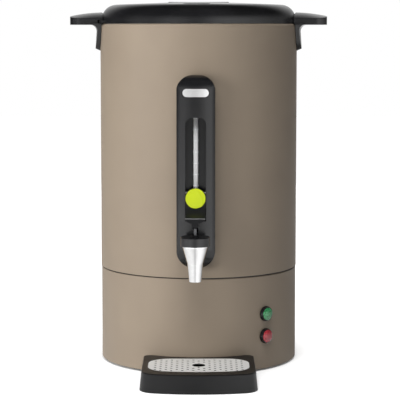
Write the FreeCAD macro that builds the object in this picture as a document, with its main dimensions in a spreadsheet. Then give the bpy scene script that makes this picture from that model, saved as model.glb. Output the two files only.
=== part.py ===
import FreeCAD, Part
import math
import os
import types

import PartDesign
import Sketcher

# Coffee urn of the percolator kind. Origin on the urn's axis at the height of the worktop, +Z up,
# the tap towards -Y. Lengths are in millimetres and angles in degrees.

Vector = FreeCAD.Vector
Rotation = FreeCAD.Rotation

# Driving sizes, each written once. They go into the sheet, and every piece reads them from there.
driving = {
    # Tank and base housing
    "body_radius": 136.0,
    "base_step": 0.6,
    "sheet_wall": 1.2,
    "rim_height": 464.2,
    "rim_round": 2.6,
    "ledge_width": 8.5,
    "floor_height": 138.0,
    "floor_round": 4.0,
    "well_radius": 30.0,
    "well_depth": 5.0,
    "base_bottom": 2.5,
    "seam_drop": 9.5,
    "seam_gap": 1.2,
    "slip_gap": 0.3,
    "run_gap": 0.05,
    "flange_width": 17.0,
    "plate_underside": 3.3,
    "foot_radius": 11.0,
    "foot_inset": 24.2,
    "foot_stem_radius": 4.0,
    "stud_radius": 2.5,
    "stud_inset": 36.2,
    "vent_count": 18.0,
    "vent_width": 4.0,
    "vent_length": 26.0,
    "vent_inset": 50.2,
    # Lid
    "lid_inset": 2.0,
    "lid_gap": 0.3,
    "lid_wall": 3.0,
    "lid_side_height": 25.1,
    "lid_crown_rise": 4.1,
    "lid_skirt": 5.1,
    "grip_radius": 40.0,
    "grip_depth": 18.6,
    "grip_width": 24.0,
    "grip_rise": 0.8,
    "vent_recess_width": 35.5,
    "vent_recess_length": 20.0,
    "vent_recess_depth": 5.0,
    "vent_recess_inset": 17.0,
    "lug_width": 14.0,
    "lug_height": 3.5,
    "lug_reach": 6.5,
    "lug_angle": 19.0,
    "lug_clearance": 0.45,
    "liner_rib": 10.0,
    "lid_screw_circle": 96.0,
    "lid_screw_radius": 2.0,
    "seal_width": 2.4,
    # Handles
    "handle_half_width": 34.5,
    "handle_reach": 42.6,
    "handle_drop": 1.2,
    "handle_side_height": 9.2,
    "handle_crown_rise": 8.0,
    "handle_tip_drop": 5.0,
    "handle_corner": 16.0,
    "handle_wall": 5.0,
    "handle_flare": 1.5,
    "tongue_height": 35.6,
    "tongue_shoulder": 6.5,
    "handle_gap": 0.6,
    "handle_screw_radius": 2.0,
    "handle_screw_low_drop": 27.2,
    "handle_screw_high_drop": 11.2,
    # Tap column
    "column_half_width": 25.2,
    "column_depth": 29.0,
    "column_lift": 5.5,
    "column_height": 254.3,
    "column_corner": 21.0,
    "column_nose": 17.0,
    "column_side_round": 7.0,
    "column_bulge": 75.0,
    "column_crown": 90.0,
    "channel_half_width": 13.3,
    "channel_inset": 54.8,
    "channel_web": 8.0,
    "block_rise": 19.0,
    "block_height": 19.0,
    "block_slot_width": 7.4,
    "block_slot_depth": 8.0,
    "badge_drop": 22.7,
    "badge_length": 34.0,
    "badge_width": 10.6,
    "badge_thickness": 1.2,
    "tube_radius": 3.5,
    "tube_wall": 1.0,
    "tube_stand_off": 14.0,
    "tube_engagement": 8.0,
    "tube_seat": 6.0,
    "seal_wall": 1.4,
    "column_screw_drop": 33.8,
    # Tap
    "tap_gap": 1.1,
    "shank_rise": 33.0,
    "shank_radius": 8.0,
    "shank_bore": 5.5,
    "shank_inside": 13.8,
    "gasket_margin": 5.0,
    "head_rise": 8.5,
    "cone_length": 23.0,
    "nozzle_length": 23.3,
    "nozzle_radius": 8.0,
    "cone_bottom_radius": 10.2,
    "cone_top_radius": 16.5,
    "outlet_radius": 5.8,
    "seat_drop": 4.0,
    "chamber_radius": 11.0,
    "neck_step": 1.5,
    "neck_height": 7.5,
    "bonnet_overhang": 2.4,
    "bonnet_height": 12.3,
    "stem_radius": 2.0,
    "ball_radius": 2.5,
    "ball_rise": 16.2,
    "ball_gap": 0.35,
    "cup_radius": 9.0,
    "cup_height": 9.5,
    "spring_radius": 4.8,
    "spring_wire": 1.0,
    "spring_turns": 4.0,
    # Lever
    "lever_side_gap": 0.3,
    "lever_inset": 8.0,
    "lever_proud": 1.4,
    "lever_foot_gap": 0.6,
    "pivot_inset": 4.8,
    "pivot_rise": 38.0,
    "lever_pin_radius": 1.8,
    "pin_grip": 3.0,
    "disc_edge": 0.1,
    "disc_drop": 7.2,
    "disc_thickness": 1.2,
    "lip_overhang": 6.0,
    "lip_rise": 7.4,
    "lip_thickness": 2.0,
    "lip_sag": 7.1,
    "slot_run": 12.0,
    # Pilot lamps
    "lamp_angle": 42.8,
    "lamp_high": 76.5,
    "lamp_low": 46.5,
    "bezel_radius": 10.25,
    "bezel_height": 4.6,
    "bezel_rim": 1.95,
    "bezel_lip": 2.45,
    "lens_rise": 2.6,
    "barrel_length": 27.0,
    # Drip tray
    "tray_length": 109.6,
    "tray_height": 24.0,
    "tray_half_width": 73.0,
    "tray_flare": 2.5,
    "tray_wall": 3.5,
    "tray_gap": 0.3,
    "tray_corner": 22.0,
    "tray_turn": 1.4,
    "tray_side_rim": 7.5,
    "tray_front_rim": 20.0,
    "tray_back_rim": 8.1,
    "tray_ledge": 3.0,
    "drip_plate_corner": 28.0,
    "drip_plate_thickness": 1.2,
    "drip_hole_radius": 1.5,
    "drip_hole_pitch": 7.0,
    "drip_row_pitch": 12.6,
    "drip_centre_radius": 8.5,
    # Percolator insert
    "riser_radius": 6.0,
    "riser_wall": 1.0,
    "riser_drop": 20.2,
    "basket_radius": 84.0,
    "basket_drop": 74.0,
    "basket_height": 62.0,
    "basket_wall": 1.0,
    "bell_gap": 3.0,
    "foot_bell_height": 16.0,
    "spreader_dish": 4.0,
    # Rear and inner fittings
    "inlet_height": 62.0,
    "inlet_angle": 180.0,
    "switch_angle": 158.0,
    "switch_tilt": 11.0,
    "rocker_pin_radius": 1.0,
    "rocker_pin_length": 11.4,
    "element_radius": 46.0,
    "element_width": 8.0,
    "element_height": 7.0,
    "warm_radius": 72.0,
    "warm_width": 5.0,
    "warm_height": 4.5,
    "cutout_x": -44.0,
    "cutout_y": -40.0,
    "cutout_height": 24.0,
    "button_radius": 3.0,
    "capillary_radius": 1.0,
    "capillary_bend": 8.0,
    "capillary_dip": 18.0,
    "bulb_radius": 2.5,
    "bulb_length": 30.0,
    "wire_radius": 1.6,
    "wire_bend": 8.0,
    "wire_rise": 14.0,
    "terminal_x": 14.0,
    "terminal_y": 44.0,
    "terminal_length": 44.0,
    "terminal_width": 18.0,
    "terminal_height": 20.0,
}


class Size:
    """A length or angle: its value now, and the formula that ties it to the sheet."""

    def __init__(self, value, formula):
        self.value = value
        self.formula = formula

    def __add__(self, other):
        other = sized(other)
        return Size(self.value + other.value, f"({self.formula} + {other.formula})")

    def __sub__(self, other):
        other = sized(other)
        return Size(self.value - other.value, f"({self.formula} - {other.formula})")

    def __mul__(self, other):
        other = sized(other)
        return Size(self.value * other.value, f"({self.formula} * {other.formula})")

    def __truediv__(self, other):
        other = sized(other)
        return Size(self.value / other.value, f"({self.formula} / {other.formula})")

    def __radd__(self, other):
        return sized(other) + self

    def __rsub__(self, other):
        return sized(other) - self

    def __rmul__(self, other):
        return sized(other) * self

    def __rtruediv__(self, other):
        return sized(other) / self

    def __neg__(self):
        return Size(-self.value, f"(0 - {self.formula})")

    def __float__(self):
        return self.value


def sized(number):
    return number if isinstance(number, Size) else Size(float(number), repr(float(number)))


def root(size):
    return Size(math.sqrt(size.value), f"sqrt({size.formula})")


def sine(angle):
    angle = sized(angle)
    return Size(math.sin(math.radians(angle.value)), f"sin({angle.formula})")


def cosine(angle):
    angle = sized(angle)
    return Size(math.cos(math.radians(angle.value)), f"cos({angle.formula})")


def leg(long_side, short_side):
    """The other short side of a right-angled triangle."""
    return root(long_side * long_side - short_side * short_side)


doc = FreeCAD.newDocument("coffee_urn")


def size_sheet():
    sheet = doc.addObject("Spreadsheet::Sheet", "Sizes")
    for row, (alias, number) in enumerate(driving.items(), start=1):
        sheet.set(f"A{row}", alias)
        sheet.set(f"B{row}", str(number))
        sheet.setAlias(f"B{row}", alias)
    doc.recompute()
    return types.SimpleNamespace(**{
        alias: Size(float(sheet.get(alias)), f"Sizes.{alias}") for alias in driving
    })


s = size_sheet()
parts = {}

# Sizes that several pieces share, worked out from the driving ones.
# Tank and base
base_radius = s.body_radius - s.base_step
seam_height = s.floor_height - s.seam_drop
inner_radius = s.body_radius - s.sheet_wall
floor_underside = s.floor_height - s.sheet_wall
well_floor = s.floor_height - s.well_depth
skirt_end = seam_height + s.seam_gap
ledge_radius = s.body_radius - s.ledge_width
base_inside = base_radius - s.sheet_wall
foot_circle = base_inside - s.foot_inset
stud_circle = base_inside - s.stud_inset
vent_circle = base_inside - s.vent_inset
plate_top = s.plate_underside + s.sheet_wall
# Lid
lid_radius = s.body_radius - s.lid_inset
lid_bottom = s.rim_height + s.lid_gap
lid_inside = lid_radius - s.lid_wall
lid_edge_height = lid_bottom + s.lid_side_height
lid_crown_height = lid_edge_height + s.lid_crown_rise
lid_shoulder = s.lid_side_height - s.lid_skirt
grip_floor = lid_crown_height - s.grip_depth
vent_recess_front = lid_radius - s.vent_recess_inset
liner_top = lid_bottom + 1.5
seal_inner = lid_inside - s.lid_gap - s.seal_width
seal_top = s.rim_height + 3.0
lug_bottom = s.rim_height + 1.3
lug_end = lid_radius + s.lug_reach
# Handles
handle_inside = lid_radius + s.handle_gap
tongue_half_width = s.handle_half_width - s.tongue_shoulder
handle_tip = lid_radius + s.handle_reach
handle_underside = s.rim_height - s.handle_drop
handle_edge_height = handle_underside + s.handle_side_height
handle_crown_height = handle_edge_height + s.handle_crown_rise
handle_screw_low = s.rim_height - s.handle_screw_low_drop
handle_screw_high = s.rim_height - s.handle_screw_high_drop
# Tap
shank_height = s.floor_height + s.shank_rise
shank_end = inner_radius - s.shank_inside
seat_height = shank_height - s.seat_drop
cone_top = shank_height + s.head_rise
cone_bottom = cone_top - s.cone_length
nozzle_bottom = cone_bottom - s.nozzle_length
neck_radius = s.cone_top_radius - s.neck_step
bonnet_radius = s.cone_top_radius + s.bonnet_overhang
bonnet_top = cone_top + s.bonnet_height
spring_top = bonnet_top - 2.5
cup_top = seat_height + s.cup_height
ball_height = bonnet_top + s.ball_rise
gasket_radius = s.shank_radius + s.gasket_margin
gasket_face = s.body_radius + 3.3
port_radius = s.tube_radius + s.seal_wall + 1.6
# Tap column
column_front = s.body_radius + s.column_depth
column_bottom = s.floor_height + s.column_lift
column_top = column_bottom + s.column_height
column_screw_height = column_top - s.column_screw_drop
badge_height = column_top - s.badge_drop
channel_top = column_top - s.channel_inset
channel_back = s.body_radius + s.channel_web
block_bottom = shank_height + s.block_rise
block_top = block_bottom + s.block_height
tube_depth = s.body_radius + s.tube_stand_off
tube_top = channel_top + s.tube_engagement
tube_bottom = block_bottom - s.tube_seat
tap_depth = column_front + bonnet_radius + s.tap_gap
# Lever
lever_half_width = s.channel_half_width - s.lever_side_gap
lever_back = column_front - s.lever_inset
lever_front = column_front + s.lever_proud
lever_pivot_depth = column_front - s.pivot_inset
lever_pivot_height = ball_height + s.pivot_rise
disc_radius = lever_half_width - s.disc_edge
disc_height = lever_pivot_height - s.disc_drop
lip_front = tap_depth + s.lip_overhang
lip_height = ball_height + s.lip_rise
lip_belly = lip_height - s.lip_sag
# Lamps
lens_radius = s.bezel_radius - s.bezel_rim
barrel_radius = s.bezel_radius - s.bezel_lip
# Drip tray
tray_front = base_radius + s.tray_length
drip_plate_length = (s.tray_half_width - s.tray_side_rim) * 2
drip_plate_front = tray_front - s.tray_front_rim
drip_plate_back = base_radius + s.tray_back_rim
# Percolator insert
riser_top = s.rim_height - s.riser_drop
basket_bottom = riser_top - s.basket_drop
basket_top = basket_bottom + s.basket_height
# Fittings in the base
inlet_body = (sized(20), sized(27.5))
inlet_screw_offset = sized(20)
inlet_screw_radius = sized(1.5)
switch_body = (sized(12.8), sized(19.2))


def bind(thing, **properties):
    """Ties properties of an object to the sheet."""
    for name, size in properties.items():
        thing.setExpression(name, sized(size).formula)


def place(thing, x=0, y=0, z=0, turn=Rotation()):
    """Puts an object at a point that follows the sheet, turned by a rotation."""
    point = [sized(number) for number in (x, y, z)]
    thing.Placement = FreeCAD.Placement(Vector(*[float(number) for number in point]), turn)
    for axis, number in zip("xyz", point):
        thing.setExpression(f"Placement.Base.{axis}", number.formula)


def turned(angle, axis=(0, 0, 1)):
    return Rotation(Vector(*axis), float(angle))


def aim(thing, angle, distance, height):
    """Turns an object built along +Z to point out of the urn, angle degrees round from the front."""
    outward = turned(angle).multiply(turned(90, (1, 0, 0)))
    place(thing, distance * sine(angle), -(distance * cosine(angle)), height, outward)


def new_body(label):
    body = doc.addObject("PartDesign::Body", label)
    body.Label = label
    return body


def keep(thing, label):
    """Names an object as a sub-part to be written out."""
    thing.Label = label
    parts[label] = thing
    return thing


def new_sketch(body, plane, offset=0, spin=None):
    """A sketch on one of the body's own planes, moved along its normal or spun about its up axis."""
    sketch = body.newObject("Sketcher::SketchObject", "Sketch")
    support = [f for f in body.Origin.OriginFeatures if f.Role == plane + "_Plane"][0]
    sketch.AttachmentSupport = [(support, "")]
    sketch.MapMode = "FlatFace"
    turn = Rotation() if spin is None else turned(spin, (0, 1, 0))
    offset = sized(offset)
    sketch.AttachmentOffset = FreeCAD.Placement(Vector(0, 0, float(offset)), turn)
    sketch.setExpression("AttachmentOffset.Base.z", offset.formula)
    return sketch


def pin_point(sketch, geometry, end, x, y, tag):
    """Ties a point of the sketch to its distances from the origin."""
    for kind, axis, number in (("DistanceX", -2, sized(x)), ("DistanceY", -1, sized(y))):
        if number.formula == "0.0":
            sketch.addConstraint(Sketcher.Constraint("PointOnObject", geometry, end, axis))
            continue
        index = sketch.addConstraint(Sketcher.Constraint(kind, -1, 1, geometry, end, float(number)))
        sketch.renameConstraint(index, kind + tag)
        sketch.setExpression(f"Constraints.{kind}{tag}", number.formula)


def pin_radius(sketch, geometry, radius, tag):
    index = sketch.addConstraint(Sketcher.Constraint("Radius", geometry, float(radius)))
    sketch.renameConstraint(index, "Radius" + tag)
    sketch.setExpression(f"Constraints.Radius{tag}", sized(radius).formula)


def bow(radius, side=1):
    """Marks the edge to the next corner as an arc, its centre left (1) or right (-1) of the way there."""
    return ("bow", radius, side)


def outline(sketch, corners, tag=""):
    """Closed loop through corners (x, y) or (x, y, round), with bow() between two of them for an arc."""
    points = [c for c in corners if c[0] != "bow"]
    bows = {}
    for index, corner in enumerate(corners):
        if corner[0] == "bow":
            bows[len([c for c in corners[:index] if c[0] != "bow"]) - 1] = corner[1:]
    count = len(points)
    flat = [Vector(float(p[0]), float(p[1]), 0) for p in points]
    starts, ends, rounds = [], [], {}
    for i in range(count):
        before = (flat[i] - flat[i - 1]).normalize()
        after = (flat[(i + 1) % count] - flat[i]).normalize()
        if len(points[i]) < 3:
            starts.append(flat[i])
            ends.append(flat[i])
            continue
        radius = float(points[i][2])
        side = 1 if before.cross(after).z > 0 else -1
        reach = radius * math.tan(before.getAngle(after) / 2)
        ends.append(flat[i] - before * reach)
        starts.append(flat[i] + after * reach)
        normal = Vector(-before.y, before.x, 0) * side
        rounds[i] = (ends[i] + normal * radius, radius, side)
    edges = []
    for i in range(count):
        start, end = starts[i], ends[(i + 1) % count]
        if i in bows:
            edges.append(add_bow(sketch, start, end, *bows[i], tag=f"{tag}b{i}"))
        else:
            edges.append((sketch.addGeometry(Part.LineSegment(start, end)), 1, 2))
    for i in range(count):
        inward, outward = edges[i - 1], edges[i]
        if i not in rounds:
            sketch.addConstraint(Sketcher.Constraint(
                "Coincident", inward[0], inward[2], outward[0], outward[1]))
            pin_point(sketch, outward[0], outward[1], points[i][0], points[i][1], f"{tag}p{i}")
            continue
        centre, radius, side = rounds[i]
        arc = add_arc(sketch, centre, radius, ends[i], starts[i], side)
        sketch.addConstraint(Sketcher.Constraint("Tangent", inward[0], inward[2], arc[0], arc[1]))
        sketch.addConstraint(Sketcher.Constraint("Tangent", arc[0], arc[2], outward[0], outward[1]))
        pin_radius(sketch, arc[0], points[i][2], f"{tag}r{i}")
        corner = sketch.addGeometry(Part.Point(flat[i]), True)
        sketch.addConstraint(Sketcher.Constraint("PointOnObject", corner, 1, inward[0]))
        sketch.addConstraint(Sketcher.Constraint("PointOnObject", corner, 1, outward[0]))
        pin_point(sketch, corner, 1, points[i][0], points[i][1], f"{tag}p{i}")
    return sketch


def arch(half, top, corner, crown, down=False):
    """Corners of a bowed end: sides at half, middle at top, and round corners tangent to both."""
    reach = leg(crown - corner, half - corner)
    share = crown / (crown - corner)
    x, y = (half - corner) * share, top - crown + reach * share
    side = top - crown + reach
    points = [(half, side), bow(corner), (x, y), bow(crown), (-x, y), bow(corner), (-half, side)]
    return [p if p[0] == "bow" else (-p[0], -p[1]) for p in points] if down else points


def add_arc(sketch, centre, radius, start, end, side):
    """An arc between two points, counter-clockwise for side 1, and which of its ends comes first."""
    first, last = (start, end) if side > 0 else (end, start)
    angles = [math.atan2(p.y - centre.y, p.x - centre.x) for p in (first, last)]
    if angles[1] < angles[0]:
        angles[1] += 2 * math.pi
    circle = Part.Circle(centre, Vector(0, 0, 1), radius)
    arc = sketch.addGeometry(Part.ArcOfCircle(circle, angles[0], angles[1]))
    return (arc, 1, 2) if side > 0 else (arc, 2, 1)


def add_bow(sketch, start, end, radius, side, tag):
    chord = end - start
    rise = math.sqrt(max(float(radius) ** 2 - chord.Length ** 2 / 4, 0))
    left = Vector(-chord.y, chord.x, 0).normalize() * side
    arc = add_arc(sketch, (start + end) / 2 + left * rise, float(radius), start, end, side)
    pin_radius(sketch, arc[0], radius, tag)
    return arc


def circles(sketch, places):
    """Circles (x, y, radius) in one sketch."""
    for index, (x, y, radius) in enumerate(places):
        centre = Vector(float(x), float(y), 0)
        circle = sketch.addGeometry(Part.Circle(centre, Vector(0, 0, 1), float(radius)))
        pin_point(sketch, circle, 3, x, y, f"c{index}")
        pin_radius(sketch, circle, radius, f"c{index}")
    return sketch


def revolve(body, sketch, angle=360, kind="Revolution", middle=False):
    feature = body.newObject("PartDesign::" + kind, kind)
    feature.Profile = sketch
    feature.ReferenceAxis = (sketch, ["V_Axis"])
    bind(feature, Angle=angle)
    feature.Midplane = middle
    doc.recompute()
    return feature


def extrude(body, sketch, length=None, kind="Pad", back=False, middle=False):
    """Pads or pockets a sketch. With no length the pocket goes through all."""
    feature = body.newObject("PartDesign::" + kind, kind)
    feature.Profile = sketch
    feature.Reversed = back
    feature.SideType = "Symmetric" if middle else "One side"
    if length is None:
        feature.Type = "ThroughAll"
    else:
        bind(feature, Length=length)
    doc.recompute()
    return feature


def pocket(body, sketch, length=None, back=False, middle=False):
    """A pocket that has to remove something."""
    before = body.Shape.Volume
    feature = extrude(body, sketch, length, "Pocket", back, middle)
    if not before - body.Shape.Volume > 1e-6:
        raise RuntimeError(f"{body.Label}: {feature.Name} removes nothing")
    return feature


def dress(body, radius, chosen, kind="Fillet"):
    """Fillets or chamfers the edges of the body's tip for which chosen(edge) is true."""
    tip = body.Tip
    names = [f"Edge{i}" for i, edge in enumerate(tip.Shape.Edges, start=1) if chosen(edge)]
    if not names:
        raise RuntimeError(f"{body.Label}: no edge to {kind.lower()}")
    feature = body.newObject("PartDesign::" + kind, kind)
    feature.Base = (tip, names)
    if kind == "Fillet":
        bind(feature, Radius=radius)
    else:
        bind(feature, Size=radius)
    doc.recompute()
    if "Invalid" in feature.State:
        raise RuntimeError(f"{body.Label}: {feature.Name} failed")
    return feature


def along(edge, direction):
    """Whether an edge is a straight one that runs along a direction."""
    if edge.Curve.TypeId != "Part::GeomLine":
        return False
    return abs(edge.Curve.Direction.dot(Vector(*direction))) > 0.999


def turned_body(label, corners, plane="XZ"):
    """A body revolved about Z from an outline of (radius, height) corners."""
    body = new_body(label)
    revolve(body, outline(new_sketch(body, plane), corners))
    return body


def primitive(kind, name, **properties):
    thing = doc.addObject("Part::" + kind, name)
    bind(thing, **properties)
    return thing


def cylinder(name, radius, height):
    return primitive("Cylinder", name, Radius=radius, Height=height)


def combine(kind, name, base, tools):
    """Cuts tools from a base, or fuses or intersects them with it."""
    if len(tools) > 1:
        joined = doc.addObject("Part::MultiFuse", name + "_tools")
        joined.Shapes = tools
    else:
        joined = tools[0]
    result = doc.addObject("Part::" + kind, name + "_" + kind.lower())
    result.Base = base
    result.Tool = joined
    return result


def copies(label, source, placements):
    """One sub-part of several separate solids: copies of one shape."""
    doc.recompute()
    thing = doc.addObject("Part::Feature", label)
    thing.Shape = Part.makeCompound([
        source.Shape.transformed(placement.toMatrix()) for placement in placements
    ])
    return keep(thing, label)


def at(x, y, z, turn=Rotation()):
    return FreeCAD.Placement(Vector(float(x), float(y), float(z)), turn)


def ring_places(radius, angles, z=0):
    """Placements on a circle about the axis, each turned to face outward from it."""
    return [
        at(radius * cosine(angle), radius * sine(angle), z, turned(angle)) for angle in angles
    ]


stud_angles = (30, 150, 270)
foot_angles = (45, 135, 225, 315)
handle_turns = {"handle_right": 0, "handle_left": 180}


def make_tank():
    wall = s.sheet_wall
    body = turned_body("tank", [
        (s.body_radius, skirt_end),
        (s.body_radius, s.rim_height, s.rim_round),
        (ledge_radius, s.rim_height),
        (ledge_radius, s.rim_height - wall),
        (inner_radius, s.rim_height - wall, s.rim_round - wall),
        (inner_radius, s.floor_height, s.floor_round),
        (s.well_radius, s.floor_height),
        (s.well_radius, well_floor),
        (0, well_floor),
        (0, well_floor - wall),
        (s.well_radius + wall, well_floor - wall),
        (s.well_radius + wall, floor_underside),
        (inner_radius, floor_underside),
        (inner_radius, skirt_end),
    ])
    front = circles(new_sketch(body, "XZ"), [
        (0, shank_height, s.shank_radius + s.slip_gap),
        (0, column_screw_height, s.handle_screw_radius + s.slip_gap),
    ])
    pocket(body, front, back=True)
    sides = circles(new_sketch(body, "YZ"), [
        (0, handle_screw_low, s.handle_screw_radius + s.slip_gap),
        (0, handle_screw_high, s.handle_screw_radius + s.slip_gap),
    ])
    pocket(body, sides, middle=True)
    keep(body, "tank")


def make_base_shell():
    wall = s.sheet_wall
    spigot = inner_radius - s.slip_gap
    flange_inside = base_radius - s.flange_width
    body = turned_body("base_body", [
        (base_radius, s.base_bottom),
        (base_radius, seam_height, wall),
        (spigot, seam_height),
        (spigot, floor_underside),
        (spigot - wall, floor_underside),
        (spigot - wall, seam_height - wall * 2),
        (base_inside, seam_height - wall * 3),
        (base_inside, plate_top + wall),
        (flange_inside, plate_top + wall),
        (flange_inside, plate_top),
        (base_inside, plate_top),
        (base_inside, s.base_bottom),
    ])
    tools = []
    for height in (s.lamp_high, s.lamp_low):
        hole = cylinder("lamp_hole", barrel_radius + s.slip_gap, base_radius)
        aim(hole, s.lamp_angle, base_radius / 2, height)
        tools.append(hole)
    tools.append(opening_tool(s.inlet_angle, inlet_body[0], inlet_body[1], s.inlet_height))
    for up in (-1, 1):
        hole = cylinder("inlet_hole", inlet_screw_radius + s.slip_gap, base_radius)
        aim(hole, s.inlet_angle, base_radius / 2, s.inlet_height + up * inlet_screw_offset)
        tools.append(hole)
    tools.append(opening_tool(s.switch_angle, switch_body[0], switch_body[1], s.inlet_height))
    keep(combine("Cut", "base_shell", body, tools), "base_shell")


def opening_tool(angle, width, height, z):
    """A block that cuts a rectangular opening, one slip gap larger all round, through the shell."""
    body = new_body("opening")
    extrude(body, rectangle(new_sketch(body, "XY"), width + s.slip_gap * 2, height + s.slip_gap * 2),
            base_radius)
    aim(body, angle, base_radius / 2, z)
    return body


def rectangle(sketch, width, height, x=0, y=0, rounding=None, tag=""):
    corners = [
        (x - width / 2, y - height / 2),
        (x + width / 2, y - height / 2),
        (x + width / 2, y + height / 2),
        (x - width / 2, y + height / 2),
    ]
    if rounding is not None:
        corners = [corner + (rounding,) for corner in corners]
    return outline(sketch, corners, tag)


def make_bottom_plate():
    body = new_body("bottom_plate")
    radius = base_inside - s.slip_gap * 4
    extrude(body, circles(new_sketch(body, "XY", s.plate_underside), [(0, 0, radius)]), s.sheet_wall)
    holes = [
        (stud_circle * cosine(angle), stud_circle * sine(angle), s.stud_radius + s.slip_gap)
        for angle in stud_angles
    ]
    holes += [
        (foot_circle * cosine(angle), foot_circle * sine(angle), s.foot_stem_radius + s.run_gap)
        for angle in foot_angles
    ]
    holes.append((s.cutout_x, s.cutout_y, s.button_radius + 1.5))
    pocket(body, circles(new_sketch(body, "XY"), holes), back=True)
    slot = rectangle(new_sketch(body, "XY"), s.vent_length, s.vent_width, x=vent_circle,
                     rounding=s.vent_width / 2 - 0.01)
    cut = pocket(body, slot, back=True)
    pattern = body.newObject("PartDesign::PolarPattern", "Vents")
    pattern.Originals = [cut]
    pattern.Axis = (slot, ["N_Axis"])
    pattern.Angle = 360
    bind(pattern, Occurrences=s.vent_count)
    body.Tip = pattern
    doc.recompute()
    keep(body, "bottom_plate")


def make_feet():
    foot = turned_body("foot", [
        (0, 0),
        (s.foot_radius - 1, 0),
        (s.foot_radius, s.plate_underside),
        (s.foot_stem_radius, s.plate_underside),
        (s.foot_stem_radius, plate_top),
        (s.foot_stem_radius + 0.8, plate_top),
        (s.foot_stem_radius, plate_top + 3),
        (0, plate_top + 3),
    ])
    copies("feet", foot, ring_places(foot_circle, foot_angles))


def hexagon(sketch, across, tag=""):
    """A hexagon by its width across the flats, corners on the circle around it."""
    outer = across / cosine(30) / 2
    return outline(sketch, [(outer * cosine(a), outer * sine(a)) for a in range(0, 360, 60)], tag)


def make_ties():
    stud_end = s.plate_underside - 2.9
    stud = cylinder("tie_stud", s.stud_radius, floor_underside - stud_end)
    copies("tie_studs", stud, ring_places(stud_circle, stud_angles, stud_end))
    nut = new_body("tie_nut")
    extrude(nut, hexagon(new_sketch(nut, "XY"), s.stud_radius * 3.2), 2.7)
    pocket(nut, circles(new_sketch(nut, "XY"), [(0, 0, s.stud_radius + s.run_gap)]), back=True)
    copies("tie_nuts", nut, ring_places(stud_circle, stud_angles, s.plate_underside - 2.7))


def make_lid():
    wall = s.lid_wall
    edge = (lid_radius, lid_edge_height, lid_shoulder)
    crater_wall = s.grip_radius - 3
    rib = lid_inside - 4
    body = turned_body("lid", [
        (lid_radius, lid_bottom),
        edge,
        (s.grip_radius, lid_crown_height, 2.2),
        (crater_wall, grip_floor, 4),
        (0, grip_floor),
        (0, grip_floor - wall),
        (crater_wall + wall, grip_floor - wall),
        (s.grip_radius + wall, lid_crown_height - wall),
        (lid_inside, lid_edge_height - wall, lid_shoulder - wall),
        (lid_inside, seal_top + s.lid_gap + 2),
        (rib, seal_top + s.lid_gap + 2),
        (rib, seal_top + s.lid_gap),
        (lid_inside, seal_top + s.lid_gap),
        (lid_inside, lid_bottom),
    ])
    # Grip across the recess, its top a little above the crown
    bar = outline(new_sketch(body, "YZ"), [
        (-s.grip_width / 2, grip_floor - wall / 2),
        (s.grip_width / 2, grip_floor - wall / 2),
        (s.grip_width / 2 - 2, lid_crown_height + s.grip_rise, 4),
        (2 - s.grip_width / 2, lid_crown_height + s.grip_rise, 4),
    ])
    extrude(body, bar, (s.grip_radius + wall / 2) * 2, middle=True)
    # Thick pad under the vent recess, then the recess and its slots
    recess_y = -(vent_recess_front - s.vent_recess_length / 2)
    recess_floor = lid_edge_height + 1 - s.vent_recess_depth
    pad = rectangle(new_sketch(body, "XY", recess_floor - wall),
                    s.vent_recess_width + wall * 2, s.vent_recess_length + wall * 2, y=recess_y)
    extrude(body, pad, s.vent_recess_depth)
    recess = rectangle(new_sketch(body, "XY", recess_floor), s.vent_recess_width,
                       s.vent_recess_length, y=recess_y, rounding=5)
    pocket(body, recess, back=True)
    slots = new_sketch(body, "XY", recess_floor)
    for index in (-1, 0, 1):
        rectangle(slots, 6, 2.4, x=sized(index * 9), y=recess_y, rounding=1.19, tag=f"s{index + 1}")
    pocket(body, slots, wall * 2)
    # Bosses for the liner's screws
    boss_bottom = new_sketch(body, "XY", liner_top)
    circles(boss_bottom, [(x, y, s.lid_screw_radius * 2.2) for x, y in lid_screw_places()])
    extrude(body, boss_bottom, lid_edge_height - liner_top)
    holes = circles(new_sketch(body, "XY", liner_top),
                    [(x, y, s.lid_screw_radius + s.run_gap) for x, y in lid_screw_places()])
    pocket(body, holes, 9, back=True)
    # Two lugs half a turn apart
    half = s.lug_width / 2 / lid_radius
    spread = Size(math.degrees(half.value), f"({half.formula} * 180 / pi)")
    for angle in (s.lug_angle, s.lug_angle + 180):
        lug = outline(new_sketch(body, "XZ", spin=angle), [
            (lid_radius - wall / 2, lug_bottom),
            (lug_end, lug_bottom),
            (lug_end, lug_bottom + s.lug_height),
            (lid_radius - wall / 2, lug_bottom + s.lug_height),
        ])
        revolve(body, lug, spread * 2, middle=True)
    keep(body, "lid")


def lid_screw_places():
    return [
        (s.lid_screw_circle * cosine(angle), s.lid_screw_circle * sine(angle))
        for angle in (45, 135, 225, 315)
    ]


def make_lid_liner():
    wall = liner_top - lid_bottom
    spigot = ledge_radius - 1
    body = turned_body("lid_liner", [
        (0, lid_bottom),
        (spigot - wall, lid_bottom),
        (spigot - wall, lid_bottom - s.liner_rib),
        (spigot, lid_bottom - s.liner_rib),
        (spigot, lid_bottom),
        (seal_inner - s.lid_gap, lid_bottom),
        (seal_inner - s.lid_gap, liner_top),
        (0, liner_top),
    ])
    holes = [(x, y, s.lid_screw_radius + s.slip_gap) for x, y in lid_screw_places()]
    pocket(body, circles(new_sketch(body, "XY"), holes), back=True)
    keep(body, "lid_liner")


def screw(name, radius, length, head_radius, head_height):
    """A pan-head screw along +Z, the underside of its head at zero and its shank above."""
    return turned_body(name, [
        (0, -head_height),
        (head_radius, -head_height, head_height * 0.6),
        (head_radius, 0),
        (radius, 0),
        (radius, length),
        (0, length),
    ])


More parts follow.
